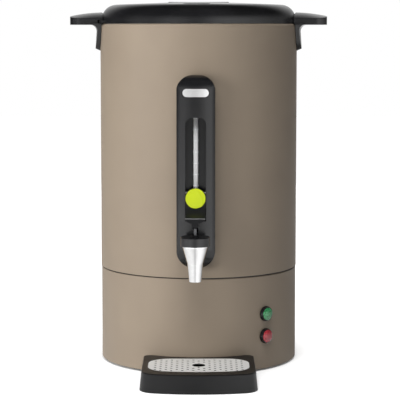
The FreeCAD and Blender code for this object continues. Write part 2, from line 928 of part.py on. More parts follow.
def make_lid_fittings():
    keep(turned_body("lid_seal", [
        (seal_inner, s.rim_height),
        (seal_inner + s.seal_width, s.rim_height),
        (seal_inner + s.seal_width, seal_top, 0.8),
        (seal_inner, seal_top, 0.8),
    ]), "lid_seal")
    one = screw("lid_screw", s.lid_screw_radius, liner_top - lid_bottom + 8, s.lid_screw_radius * 2, 2.2)
    copies("lid_screws", one, [at(x, y, lid_bottom) for x, y in lid_screw_places()])


def make_handle():
    """One handle on the +X side. The other is the same piece half a turn round."""
    body = new_body("handle_blank")
    leg_face = s.body_radius + s.slip_gap + s.handle_wall
    under = handle_underside
    bend = s.handle_wall * 1.8
    tongue_end = under - s.tongue_height
    tongue = outline(new_sketch(body, "XZ"), [
        (s.body_radius + s.slip_gap, tongue_end),
        (leg_face + s.handle_flare, tongue_end + 3),
        (leg_face, under - bend),
        bow(bend, -1),
        (leg_face + bend, under),
        (leg_face + bend, under + 2),
        (s.body_radius + s.slip_gap, under + 2),
    ])
    revolve(body, tongue, 36, middle=True)
    # The tongue narrows downwards to a rounded end
    half = s.handle_half_width
    trim = outline(new_sketch(body, "YZ"), [
        (-(half * 2), under),
        (-(half * 2), tongue_end - 10),
        (half * 2, tongue_end - 10),
        (half * 2, under),
        (half, under),
        (tongue_half_width, under - s.tongue_height * 0.55),
        bow(tongue_half_width * 1.12, -1),
        (0, tongue_end - 1),
        bow(tongue_half_width * 1.12, -1),
        (-tongue_half_width, under - s.tongue_height * 0.55),
        (-half, under),
    ])
    pocket(body, trim, back=True)
    # Crowned plate, lower towards its outer end
    sections = []
    span = handle_tip - lid_radius
    for share, drop in ((0, 0.0), (0.55, 0.28), (1, 1.0)):
        edge = handle_edge_height - s.handle_tip_drop * drop * 0.15
        crown = handle_crown_height - s.handle_tip_drop * drop - edge
        sections.append(outline(new_sketch(body, "YZ", lid_radius - 6 + (span + 6) * share), [
            (-half, under),
            (half, under),
            (half, edge),
            bow((half * half + crown * crown) / (2 * crown)),
            (-half, edge),
        ]))
    loft = body.newObject("PartDesign::AdditiveLoft", "Plate")
    loft.Profile = sections[0]
    loft.Sections = sections[1:]
    doc.recompute()
    tip = float(handle_tip)
    dress(body, s.handle_corner, lambda e: along(e, (0, 0, 1)) and e.BoundBox.XMin > tip - 1)
    # Room for the lid above the rim and for the tank below it
    clear = outline(new_sketch(body, "XZ"), [
        (0, under - 2),
        (s.body_radius + s.slip_gap, under - 2),
        (s.body_radius + s.slip_gap, lid_bottom),
        (handle_inside, lid_bottom),
        (handle_inside, handle_crown_height + 5),
        (0, handle_crown_height + 5),
    ])
    revolve(body, clear, 360, "Groove")
    # Slot for the lid's lug, open at one side and closed past the middle
    gap = s.lug_clearance
    half_lug = math.degrees(float(s.lug_width / 2 / lid_radius))
    slot_turn = 25.0
    slot = outline(new_sketch(body, "XZ", spin=slot_turn / 2 - half_lug - 1), [
        (handle_inside - 3, lug_bottom - gap),
        (lug_end + gap * 2, lug_bottom - gap),
        (lug_end + gap * 2, lug_bottom + s.lug_height + gap),
        (handle_inside - 3, lug_bottom + s.lug_height + gap),
    ])
    revolve(body, slot, slot_turn, "Groove", middle=True)
    holes = circles(new_sketch(body, "YZ"), [
        (0, handle_screw_low, s.handle_screw_radius + s.run_gap),
        (0, handle_screw_high, s.handle_screw_radius + s.run_gap),
    ])
    pocket(body, holes, s.body_radius + s.handle_wall - 0.8, back=True)
    for label, turn in handle_turns.items():
        copies(label, body, [at(0, 0, 0, turned(turn))])


def make_handle_screws():
    one = screw("handle_screw", s.handle_screw_radius, s.handle_wall + 0.2, s.handle_screw_radius * 2, 2.2)
    places = []
    for turn in handle_turns.values():
        for height in (handle_screw_low, handle_screw_high):
            outward = turned(turn).multiply(turned(90, (0, 1, 0)))
            reach = screw_seat(s.handle_screw_radius * 2)
            places.append(at(reach * cosine(turn), reach * sine(turn), height, outward))
    copies("handle_screws", one, places)


def screw_seat(head_radius):
    """Distance from the axis at which a flat round head touches the inside of the tank."""
    return leg(inner_radius, head_radius)


def make_column():
    body = new_body("column_body")
    half = s.column_half_width
    low = column_bottom
    # Plan with a bulging front, then trimmed to the front view
    plan = outline(new_sketch(body, "XY", low), arch(
        half, column_front, s.column_side_round, s.column_bulge, down=True) + [
        (half, 6 - s.body_radius),
        (-half, 6 - s.body_radius),
    ])
    extrude(body, plan, s.column_height)
    face = outline(new_sketch(body, "XZ"), arch(
        half + 0.2, column_top, s.column_corner, s.column_crown) + [
        (-half - 0.2, low + half * 1.02),
        bow(half * 1.1),
        (0, low),
        bow(half * 1.1),
        (half + 0.2, low + half * 1.02),
    ])
    far = column_front
    outline(face, [(-far, low - far), (far, low - far), (far, column_top + far),
                   (-far, column_top + far)], "f")
    pocket(body, face, back=True)
    # Both ends roll back about the axis of the bulge, so that the front has no crease
    sweep = s.column_bulge
    chin = s.column_depth
    ends = new_sketch(body, "XZ", column_front - sweep)
    outline(ends, [
        (sweep - s.column_nose, column_top),
        (sweep - s.column_nose, column_top + 5),
        (sweep + 5, column_top + 5),
        (sweep + 5, column_top - s.column_nose),
        (sweep, column_top - s.column_nose),
        bow(s.column_nose * 1.01),
    ], "n")
    outline(ends, [
        (sweep - chin, low),
        bow(chin * 1.01),
        (sweep, low + chin),
        (sweep + 5, low + chin),
        (sweep + 5, low - 5),
        (sweep - chin, low - 5),
    ], "c")
    revolve(body, ends, 360, "Groove")
    # Channel for the sight tube and the lever, with a round top
    width = s.channel_half_width
    channel = outline(new_sketch(body, "XZ", channel_back), [
        (width, block_top),
        (width, channel_top, width * 0.62),
        (-width, channel_top, width * 0.62),
        (-width, block_top),
    ])
    pocket(body, channel, back=True)
    # The space behind the block goes on down to the gauge port
    well = rectangle(new_sketch(body, "XY", block_bottom), width * 2, lever_back - channel_back,
                     y=-(lever_back + channel_back) / 2)
    pocket(body, well, block_top - block_bottom + 1, back=True)
    slot = rectangle(new_sketch(body, "XZ", column_front - s.block_slot_depth), s.block_slot_width,
                     block_top - block_bottom, y=(block_top + block_bottom) / 2 + 4)
    pocket(body, slot, back=True)
    # Seat on the tank's wall
    clear = outline(new_sketch(body, "XZ"), [
        (0, low - 5),
        (s.body_radius + s.slip_gap, low - 5),
        (s.body_radius + s.slip_gap, column_top + 5),
        (0, column_top + 5),
    ])
    revolve(body, clear, 360, "Groove")
    # Shank hole with its gasket recess, gauge port, tube socket, pin holes and screw hole
    pocket(body, circles(new_sketch(body, "XZ"), [(0, shank_height, s.shank_radius + s.slip_gap)]),
           back=True)
    pocket(body, circles(new_sketch(body, "XZ"), [(0, shank_height, gasket_radius + s.slip_gap)]),
           gasket_face, back=True)
    port = circles(new_sketch(body, "XY", shank_height), [(0, -tube_depth, port_radius + s.slip_gap)])
    pocket(body, port, block_bottom - shank_height + 1, back=True)
    socket = circles(new_sketch(body, "XY", channel_top - 2),
                     [(0, -tube_depth, s.tube_radius + s.seal_wall + s.run_gap)])
    pocket(body, socket, tube_top - channel_top + 4, back=True)
    pins = circles(new_sketch(body, "YZ"),
                   [(-lever_pivot_depth, lever_pivot_height, s.lever_pin_radius + s.run_gap)])
    pocket(body, pins, (width + s.pin_grip) * 2, middle=True)
    pocket(body, circles(new_sketch(body, "XZ"),
                         [(0, column_screw_height, s.handle_screw_radius + s.run_gap)]),
           s.body_radius + 12, back=True)
    keep(combine("Cut", "tap_column", body, [badge_blank(0.5, s.run_gap)]), "tap_column")


def badge_blank(margin, depth):
    """A pill-shaped block before the column's bulge, as far back as the badge plate's rear face."""
    pill = new_body("badge_pill")
    extrude(pill, rectangle(new_sketch(pill, "XZ", column_front - s.column_side_round),
                            s.badge_length + margin * 2, s.badge_width + margin * 2, y=badge_height,
                            rounding=s.badge_width / 2 + margin - 0.01), s.column_side_round + 2)
    bulge = cylinder("badge_back", s.column_bulge - s.badge_thickness - depth, s.column_height)
    place(bulge, 0, s.column_bulge - column_front, column_bottom)
    return combine("Cut", "badge_blank", pill, [bulge])


def make_badge():
    bulge = cylinder("badge_front", s.column_bulge, s.column_height)
    place(bulge, 0, s.column_bulge - column_front, column_bottom)
    keep(combine("Common", "badge_plate", badge_blank(0, 0), [bulge]), "badge_plate")


def tube(name, outer, inner, length):
    return combine("Cut", name, cylinder(name + "_outer", outer, length),
                   [cylinder(name + "_inner", inner, length)])


def make_sight_tube():
    body = tube("sight_tube", s.tube_radius, s.tube_radius - s.tube_wall, tube_top - tube_bottom)
    place(body, 0, -tube_depth, tube_bottom)
    keep(body, "sight_tube")
    collar = tube("tube_seal", s.tube_radius + s.seal_wall, s.tube_radius + s.run_gap, 8)
    copies("tube_seals", collar, [
        at(0, -tube_depth, channel_top),
        at(0, -tube_depth, tube_bottom),
    ])


def make_tap_body():
    """Cone nozzle about the tap's own axis, with the shank that runs back through the wall."""
    depth = tap_depth
    body = turned_body("nozzle", [
        (s.outlet_radius, nozzle_bottom),
        (s.nozzle_radius, nozzle_bottom),
        (s.cone_bottom_radius, cone_bottom),
        (s.cone_top_radius, cone_top - 1.5),
        (s.cone_top_radius, cone_top),
        (neck_radius, cone_top),
        (neck_radius, cone_top + s.neck_height),
        (s.chamber_radius, cone_top + s.neck_height),
        (s.chamber_radius, seat_height),
        (s.outlet_radius, seat_height),
    ])
    # Shank, its collar against the column, and the gauge port that stands on it
    shank = new_sketch(body, "XZ", shank_end - depth)
    extrude(body, circles(shank, [(0, shank_height, s.shank_radius)]),
            depth - shank_end - s.chamber_radius)
    collar = new_sketch(body, "XZ", column_front + s.run_gap - depth)
    extrude(body, circles(collar, [(0, shank_height, s.shank_radius + 3)]), 1.5)
    port_y = depth - tube_depth
    port = circles(new_sketch(body, "XY", shank_height), [(0, port_y, port_radius)])
    extrude(body, port, block_bottom + 2 - shank_height)
    bore = new_sketch(body, "XZ", shank_end - depth)
    pocket(body, circles(bore, [(0, shank_height, s.shank_bore)]), depth - shank_end, back=True)
    seat = circles(new_sketch(body, "XY", tube_bottom),
                   [(0, port_y, s.tube_radius + s.seal_wall + s.run_gap)])
    pocket(body, seat, back=True)
    feed = circles(new_sketch(body, "XY", shank_height), [(0, port_y, s.tube_radius - s.tube_wall)])
    pocket(body, feed, back=True)
    place(body, 0, -depth, 0)
    keep(body, "tap_body")


def make_bonnet():
    skirt = neck_radius + s.run_gap
    lip = cone_top + s.run_gap
    body = turned_body("tap_bonnet", [
        (skirt, lip),
        (bonnet_radius, lip),
        (bonnet_radius, bonnet_top, 1.5),
        (s.stem_radius + 4, bonnet_top),
        (s.stem_radius + 3, bonnet_top + 1.6),
        (s.stem_radius + s.run_gap, bonnet_top + 1.6),
        (s.stem_radius + s.run_gap, spring_top),
        (s.spring_radius + 2, spring_top),
        (s.spring_radius + 2, cone_top + s.neck_height + s.run_gap),
        (skirt, cone_top + s.neck_height + s.run_gap),
    ])
    place(body, 0, -tap_depth, 0)
    keep(body, "tap_bonnet")


def make_stem():
    ball = s.ball_radius
    neck = ball * 0.52
    chin = leg(ball, neck)
    body = turned_body("valve_stem", [
        (0, seat_height + 1),
        (s.stem_radius, seat_height + 1),
        (s.stem_radius, ball_height - 6.4),
        (neck, ball_height - 5.4),
        (neck, ball_height - chin),
        bow(ball),
        (ball, ball_height),
        bow(ball),
        (0, ball_height + ball),
    ])
    place(body, 0, -tap_depth, 0)
    keep(body, "valve_stem")
    grip = s.stem_radius + s.run_gap
    cup = turned_body("seat_cup", [
        (grip, seat_height + 3),
        (s.cup_radius - 2.4, seat_height),
        (s.cup_radius, seat_height),
        (s.cup_radius, seat_height + 3, 1),
        (s.spring_radius + 1, cup_top - 3),
        (s.spring_radius + 1, cup_top - 1.5),
        (s.stem_radius + 1.6, cup_top - 1.5),
        (s.stem_radius + 1.6, cup_top),
        (grip, cup_top),
    ])
    place(cup, 0, -tap_depth, 0)
    keep(cup, "seat_cup")


def make_spring():
    """Round wire wound about the stem, between the seat cup and the bonnet."""
    bottom = cup_top - 1.5 + s.spring_wire / 2 + s.run_gap
    top = spring_top - s.spring_wire / 2 - s.run_gap
    spine = primitive("Helix", "spring_line", Pitch=(top - bottom) / s.spring_turns,
                      Height=top - bottom, Radius=s.spring_radius)
    place(spine, 0, -tap_depth, bottom)
    wire = primitive("Circle", "spring_section", Radius=s.spring_wire / 2)
    place(wire, s.spring_radius, -tap_depth, bottom, turned(90, (1, 0, 0)))
    sweep = doc.addObject("Part::Sweep", "stem_spring")
    sweep.Sections = [wire]
    sweep.Spine = (spine, ["Edge1"])
    sweep.Solid = True
    sweep.Frenet = True
    keep(sweep, "stem_spring")


def make_lever():
    """Side view padded across, then trimmed to its front view; a ball slot under the lip lifts the stem."""
    body = new_body("tap_lever")
    half = lever_half_width
    front = lever_front
    underside = block_top + s.lever_foot_gap
    side = outline(new_sketch(body, "YZ"), [
        (-lever_back, underside),
        (-lever_back, disc_height + half + 1),
        (-front, disc_height + half + 1),
        (-front, disc_height - half),
        bow(lip_front - front - 1, -1),
        (-lip_front, lip_height),
        (-lip_front, lip_belly),
        (-front, lip_belly),
        (-front, underside),
    ])
    extrude(body, side, half * 2, middle=True)
    # Front view: round head, lip with a bowed underside
    head = disc_height
    chin = lip_height - s.lip_thickness
    belly = chin - lip_belly
    far = half * 2
    trim = outline(new_sketch(body, "XZ"), [
        (0, head + half),
        bow(half),
        (-half, head),
        (-half, chin),
        bow((half * half + belly * belly) / (2 * belly)),
        (half, chin),
        (half, head),
        bow(half),
    ])
    outline(trim, [(-far, chin - 20), (far, chin - 20), (far, head + far), (-far, head + far)], "f")
    pocket(body, trim, back=True)
    # Block under the lip with a straight slot for the stem's ball, open at the back
    slot_floor = ball_height - s.ball_radius - s.ball_gap
    block_back = tap_depth - s.slot_run
    block = rectangle(new_sketch(body, "XY", slot_floor - 2), s.ball_radius * 2 + 3.6,
                      lip_front - block_back, y=-(lip_front + block_back) / 2)
    extrude(body, block, lip_belly + 3 - slot_floor + 2)
    room = s.ball_radius + s.ball_gap
    opening = rectangle(new_sketch(body, "XZ", lever_front), room * 2, room * 2, y=ball_height)
    pocket(body, opening, tap_depth + room - lever_front, back=True)
    slot_end = tap_depth + s.ball_radius
    neck = rectangle(new_sketch(body, "XY"), s.ball_radius * 1.28, slot_end - column_front,
                     y=-(slot_end + column_front) / 2)
    pocket(body, neck, ball_height, back=True)
    pin = circles(new_sketch(body, "YZ"),
                  [(-lever_pivot_depth, lever_pivot_height, s.lever_pin_radius + s.run_gap)])
    pocket(body, pin, middle=True)
    keep(body, "tap_lever")


def make_lever_fittings():
    disc = cylinder("lever_disc", disc_radius, s.disc_thickness)
    aim(disc, 0, lever_front, disc_height)
    keep(disc, "lever_disc")
    length = (s.channel_half_width + s.pin_grip - s.run_gap) * 2
    pin = cylinder("lever_pin", s.lever_pin_radius, length)
    place(pin, -length / 2, -lever_pivot_depth, lever_pivot_height, turned(90, (0, 1, 0)))
    keep(pin, "lever_pin")


def make_shank_fittings():
    """Gaskets on both sides of the wall, shaped to it, and the nut inside the tank."""
    wall_in = cylinder("wall_inside", inner_radius - s.run_gap, s.rim_height)
    wall_out = cylinder("wall_outside", s.body_radius + s.run_gap, s.rim_height)
    inner = tube("gasket_in", gasket_radius, s.shank_radius + s.run_gap, 8)
    aim(inner, 0, inner_radius - 3.2, shank_height)
    keep(combine("Common", "gasket_inner", inner, [wall_in]), "gasket_inner")
    outer = tube("gasket_out", gasket_radius, s.shank_radius + s.run_gap, gasket_face - s.body_radius + 3)
    aim(outer, 0, s.body_radius - 3 - s.run_gap, shank_height)
    keep(combine("Cut", "gasket_outer", outer, [wall_out]), "gasket_outer")
    nut = new_body("shank_nut")
    extrude(nut, hexagon(new_sketch(nut, "XY"), s.shank_radius * 3), 6)
    pocket(nut, circles(new_sketch(nut, "XY"), [(0, 0, s.shank_radius + s.run_gap)]), back=True)
    aim(nut, 0, inner_radius - 9.2, shank_height)
    keep(nut, "shank_nut")
    one = screw("column_screw", s.handle_screw_radius, 13, s.handle_screw_radius * 2, 2.2)
    aim(one, 0, screw_seat(s.handle_screw_radius * 2), column_screw_height)
    keep(one, "column_screw")


def make_lamps():
    seat = base_radius + s.run_gap
    thread = barrel_radius
    for label, height in (("green", s.lamp_high), ("red", s.lamp_low)):
        bezel = turned_body(label + "_lamp", [
            (0, -s.barrel_length),
            (thread, -s.barrel_length),
            (thread, 0),
            (s.bezel_radius, 0),
            (s.bezel_radius, 1.6),
            (s.bezel_radius - 1.1, s.bezel_height, 0.5),
            (lens_radius + s.run_gap, s.bezel_height),
            (lens_radius + s.run_gap, 1.2),
            (0, 1.2),
        ])
        aim(bezel, s.lamp_angle, seat, height)
        keep(bezel, label + "_lamp")
        lens = turned_body(label + "_lens", [
            (0, 1.2 + s.run_gap),
            (lens_radius, 1.2 + s.run_gap),
            (lens_radius, s.bezel_height + 0.6),
            bow(lens_radius * lens_radius / (2 * s.lens_rise) + s.lens_rise / 2),
            (0, s.bezel_height + 0.6 + s.lens_rise),
        ])
        aim(lens, s.lamp_angle, seat, height)
        keep(lens, label + "_lens")
    nut = new_body("lamp_nut")
    extrude(nut, hexagon(new_sketch(nut, "XY"), thread * 2 + 4), 3)
    pocket(nut, circles(new_sketch(nut, "XY"), [(0, 0, thread + s.run_gap)]), back=True)
    places = []
    for height in (s.lamp_high, s.lamp_low):
        reach = leg(base_inside, thread + 3) - 3
        outward = turned(s.lamp_angle).multiply(turned(90, (1, 0, 0)))
        places.append(at(reach * sine(s.lamp_angle), -(reach * cosine(s.lamp_angle)), height, outward))
    copies("lamp_nuts", nut, places)


def make_elements():
    """Ring heaters clamped flat under the tank floor, open at the back where their pins go down."""
    for label, radius, width, height in (
            ("boil_element", s.element_radius, s.element_width, s.element_height),
            ("warm_element", s.warm_radius, s.warm_width, s.warm_height)):
        body = new_body(label)
        section = outline(new_sketch(body, "XZ", spin=-90), [
            (radius - width / 2, floor_underside - height, width * 0.3),
            (radius + width / 2, floor_underside - height, width * 0.3),
            (radius + width / 2, floor_underside),
            (radius - width / 2, floor_underside),
        ])
        revolve(body, section, 330, middle=True)
        ends = [(radius * cosine(angle), radius * sine(angle), 1.5) for angle in (110, 70)]
        extrude(body, circles(new_sketch(body, "XY", floor_underside - height - 9), ends), 10)
        keep(body, label)


def make_controls():
    """Thermostat on the tank floor, cut-out with its reset button on the bottom plate."""
    body = turned_body("thermostat", [
        (0, floor_underside - 11),
        (6, floor_underside - 11),
        (6, floor_underside - 7),
        (8, floor_underside - 7),
        (8, floor_underside),
        (0, floor_underside),
    ])
    place(body, -stud_circle * cosine(5), -stud_circle * sine(5), 0)
    keep(body, "thermostat")
    # Cut-out: a box on the plate with a hollow neck for the button
    neck = s.button_radius + 1.4
    box_base = plate_top + s.run_gap
    cutout = new_body("reset_cutout")
    extrude(cutout, rectangle(new_sketch(cutout, "XY", box_base), 30, 22), s.cutout_height)
    extrude(cutout, circles(new_sketch(cutout, "XY", s.plate_underside - 1.2), [(0, 0, neck)]),
            s.sheet_wall + 1.3)
    bore = circles(new_sketch(cutout, "XY", s.plate_underside - 1.2),
                   [(0, 0, s.button_radius + s.run_gap)])
    pocket(cutout, bore, 9, back=True)
    place(cutout, s.cutout_x, s.cutout_y, 0)
    keep(cutout, "reset_cutout")
    button = turned_body("reset_button", [
        (0, 0.9),
        (s.button_radius, 0.9, 0.6),
        (s.button_radius, s.plate_underside + 2.6),
        (0, s.plate_underside + 2.6),
    ])
    place(button, s.cutout_x, s.cutout_y, 0)
    keep(button, "reset_button")
    # Capillary from the cut-out up to its bulb, which lies along the tank floor
    bulb_z = floor_underside - s.bulb_radius - 0.1
    top = plate_top + s.run_gap + s.cutout_height
    run_z = float(bulb_z - s.capillary_dip)
    bend = float(s.capillary_bend)
    reach = float(stud_circle) / math.hypot(float(s.cutout_x), float(s.cutout_y))
    near = Vector(float(s.cutout_x), float(s.cutout_y), 0)
    far = near * reach
    direction = Vector(-far.y, far.x, 0).normalize()
    points = [
        near + Vector(0, 0, float(top)),
        near + Vector(0, 0, run_z),
        far + Vector(0, 0, run_z),
        far + Vector(0, 0, float(bulb_z)),
        far + direction * bend * 1.5 + Vector(0, 0, float(bulb_z)),
    ]
    capillary = bent_tube(points, float(s.capillary_radius), bend)
    bulb = Part.makeCylinder(float(s.bulb_radius), float(s.bulb_length), points[-1], direction)
    feature = doc.addObject("Part::Feature", "capillary")
    feature.Shape = capillary.fuse(bulb).removeSplitter()
    keep(feature, "capillary")


def bent_tube(points, radius, bend):
    """A round rod along straight runs joined by tangent arcs."""
    edges = []
    start = points[0]
    for before, corner, after in zip(points, points[1:], points[2:]):
        inward = (corner - before).normalize()
        outward = (after - corner).normalize()
        turn = inward.getAngle(outward)
        reach = bend * math.tan(turn / 2)
        first, last = corner - inward * reach, corner + outward * reach
        middle = (outward - inward).normalize() * (bend / math.cos(turn / 2) - bend)
        edges.append(Part.LineSegment(start, first).toShape())
        edges.append(Part.Arc(first, corner + middle, last).toShape())
        start = last
    edges.append(Part.LineSegment(start, points[-1]).toShape())
    spine = Part.Wire(edges)
    section = Part.Wire(Part.Circle(points[0], (points[1] - points[0]), radius).toShape())
    return spine.makePipeShell([section], True, True)


def make_inlet():
    """Three-pin appliance inlet, upright, flange against the shell."""
    seat = base_radius + s.run_gap
    body = new_body("power_inlet")
    extrude(body, rectangle(new_sketch(body, "XY"), 25, 50, rounding=6), 3)
    extrude(body, rectangle(new_sketch(body, "XY"), *inlet_body), 24, back=True)
    extrude(body, rectangle(new_sketch(body, "XY", 2.5), 22, 30, rounding=4), 3)
    mouth = outline(new_sketch(body, "XY", 5.5), [
        (-8.1, -8),
        (-4.1, -12.1),
        (8.1, -12.1),
        (8.1, 12.1),
        (-4.1, 12.1),
        (-8.1, 8),
    ])
    pocket(body, mouth, 18)
    rear = new_sketch(body, "XY", -24)
    extrude(body, rectangle(rear, 2, 6, y=sized(7)), 6, back=True)
    tabs = new_sketch(body, "XY", -24)
    extrude(body, rectangle(tabs, 2, 6, y=sized(-7)), 6, back=True)
    holes = circles(new_sketch(body, "XY", 3),
                    [(0, up * inlet_screw_offset, inlet_screw_radius + s.run_gap) for up in (-1, 1)])
    pocket(body, holes)
    aim(body, s.inlet_angle, seat, s.inlet_height)
    keep(body, "power_inlet")
    outward = turned(s.inlet_angle).multiply(turned(90, (1, 0, 0)))
    pin = new_body("inlet_pin")
    extrude(pin, rectangle(new_sketch(pin, "XY", -12.5), 4, 2), 16.5)
    doc.recompute()
    places = []
    for across, up in ((2, 7), (2, -7), (-2, 0)):
        local = at(across, up, 0)
        places.append(at(0, seat, s.inlet_height, outward).multiply(local))
    copies("inlet_pins", pin, places)
    one = screw("inlet_screw", inlet_screw_radius, 9, inlet_screw_radius * 2, 1.8)
    inward = outward.multiply(turned(180, (1, 0, 0)))
    copies("inlet_screws", one, [
        at(0, seat + 3, s.inlet_height + up * inlet_screw_offset, inward) for up in (-1, 1)
    ])


def make_switch():
    seat = base_radius + s.run_gap
    frame = new_body("switch_frame")
    extrude(frame, rectangle(new_sketch(frame, "XY"), 15, 21.5, rounding=1.5), 2.2)
    extrude(frame, rectangle(new_sketch(frame, "XY"), *switch_body), 17, back=True)
    pocket(frame, rectangle(new_sketch(frame, "XY", 2.2), 9.6, 16.6), 9)
    sockets = circles(new_sketch(frame, "YZ"), [(0, 0, s.rocker_pin_radius + s.run_gap)])
    pocket(frame, sockets, s.rocker_pin_length + s.run_gap * 2, middle=True)
    tabs = new_sketch(frame, "XY", -17)
    extrude(frame, rectangle(tabs, 0.8, 4.8, y=sized(5)), 6, back=True)
    lower = new_sketch(frame, "XY", -17)
    extrude(frame, rectangle(lower, 0.8, 4.8, y=sized(-5)), 6, back=True)
    aim(frame, s.switch_angle, seat, s.inlet_height)
    keep(frame, "switch_frame")
    rocker = new_body("switch_rocker")
    side = outline(new_sketch(rocker, "YZ"), [
        (-7.4, 1.4),
        (-5.5, -1.5),
        (0, -3.6),
        (5.5, -1.5),
        (7.4, 1.4),
        (7.6, 3.2),
        (0, 2.2),
        (-7.6, 3.2),
    ])
    extrude(rocker, side, 9, middle=True)
    pins = circles(new_sketch(rocker, "YZ"), [(0, 0, s.rocker_pin_radius)])
    extrude(rocker, pins, s.rocker_pin_length, middle=True)
    aim(rocker, s.switch_angle, seat, s.inlet_height)
    tilt = rocker.Placement.Rotation.multiply(turned(s.switch_tilt, (1, 0, 0)))
    rocker.Placement = FreeCAD.Placement(rocker.Placement.Base, tilt)
    keep(rocker, "switch_rocker")


def make_wiring():
    """Terminal block on the plate, and the insulated wires that meet its top and the fittings' tabs."""
    block = new_body("terminal_block")
    extrude(block, rectangle(new_sketch(block, "XY", plate_top + s.run_gap), s.terminal_length,
                             s.terminal_width, rounding=2), s.terminal_height)
    place(block, s.terminal_x, s.terminal_y, 0)
    keep(block, "terminal_block")
    top = float(plate_top + s.run_gap + s.terminal_height)
    inlet_back = float(base_radius) - 30
    row = float(s.terminal_y)
    bend = float(s.wire_bend)
    shapes = []
    for up, x in ((7, 0.0), (-7, -4.0)):
        z = float(s.inlet_height) + up
        shapes.append(bent_tube([
            Vector(0, inlet_back, z),
            Vector(0, row + bend * 2 + up, z),
            Vector(x - 2, row + up * 0.6, top + float(s.wire_rise)),
            Vector(x - 2, row + up * 0.6, top),
        ], float(s.wire_radius), bend))
    feature = doc.addObject("Part::Feature", "wiring")
    feature.Shape = Part.makeCompound(shapes)
    keep(feature, "wiring")


def make_tray():
    """Loose tray whose back follows the base, on the worktop under the tap."""
    body = new_body("tray_blank")
    back_radius = base_radius + s.tray_gap
    ears = leg(back_radius, s.tray_half_width - s.tray_corner * 0.42)
    sections = []
    for height, flare in ((sized(0), s.tray_flare), (s.tray_height, sized(0))):
        half = s.tray_half_width + flare
        front = tray_front + flare * 0.6
        sections.append(outline(new_sketch(body, "XY", height), arch(
            half, front, s.tray_corner, front, down=True) + [
            (half, -ears, s.tray_corner * 0.35),
            (-half, -ears, s.tray_corner * 0.35),
        ], "t"))
    loft = body.newObject("PartDesign::AdditiveLoft", "Tray")
    loft.Profile = sections[0]
    loft.Sections = [sections[1]]
    loft.Ruled = True
    doc.recompute()
    round_back = outline(new_sketch(body, "XZ"), [
        (0, -5),
        (back_radius, -5),
        (back_radius, s.tray_height + 5),
        (0, s.tray_height + 5),
    ])
    revolve(body, round_back, 360, "Groove")
    sink = s.drip_plate_thickness
    pocket(body, plate_outline(new_sketch(body, "XY", s.tray_height), s.slip_gap), sink)
    pocket(body, plate_outline(new_sketch(body, "XY", s.tray_height - sink), -s.tray_ledge),
           s.tray_height - sink - s.tray_wall)
    top = float(s.tray_height)
    edge = float(drip_plate_length) / 2 + 3
    dress(body, 1.6, lambda e: e.BoundBox.ZMin > top - 0.01 and (
        e.BoundBox.YMin < -float(drip_plate_front) - 3
        or e.BoundBox.XMax > edge or e.BoundBox.XMin < -edge))
    place(body, 0, 0, 0, turned(s.tray_turn))
    keep(body, "drip_tray")


def plate_outline(sketch, margin):
    """Outline of the drip plate, its front bowed about the urn's axis, grown by a margin."""
    half = drip_plate_length / 2 + margin
    front = drip_plate_front + margin
    corner = s.drip_plate_corner + margin
    return outline(sketch, arch(half, front, corner, front, down=True) + [
        (half, margin - drip_plate_back, corner),
        (-half, margin - drip_plate_back, corner),
    ])


def make_drip_plate():
    """Steel plate with a staggered pattern of drain holes and a larger one under the nozzle."""
    plate = new_body("drip_blank")
    blank = plate_outline(new_sketch(plate, "XY", s.tray_height - s.drip_plate_thickness), 0)
    extrude(plate, blank, s.drip_plate_thickness)
    doc.recompute()
    centre_y = -float(drip_plate_front + drip_plate_back) / 2
    half_x, half_y = float(drip_plate_length) / 2, float(drip_plate_front - drip_plate_back) / 2
    corner = float(s.drip_plate_corner)
    hole, margin = float(s.drip_hole_radius), 3.5
    columns = int(half_x // float(s.drip_hole_pitch))
    rows = int(half_y // float(s.drip_row_pitch)) + 1
    holes = [Part.makeCylinder(float(s.drip_centre_radius), 10, Vector(0, centre_y, 20))]
    for column in range(-columns, columns + 1):
        shift = 0.5 if column % 2 else 0.0
        for row in range(-rows, rows + 1):
            x = column * float(s.drip_hole_pitch)
            y = (row + shift) * float(s.drip_row_pitch)
            over_x, over_y = abs(x) - (half_x - corner), abs(y) - (half_y - corner)
            reach = math.hypot(max(over_x, 0), max(over_y, 0))
            if reach > corner - hole - margin:
                continue
            if math.hypot(x, y) < float(s.drip_centre_radius) + hole + margin / 2:
                continue
            holes.append(Part.makeCylinder(hole, 10, Vector(x, centre_y + y, 20)))
    tool = doc.addObject("Part::Feature", "drain_holes")
    tool.Shape = Part.makeCompound(holes)
    result = combine("Cut", "drip_plate", plate, [tool])
    place(result, 0, 0, 0, turned(s.tray_turn))
    keep(result, "drip_plate")


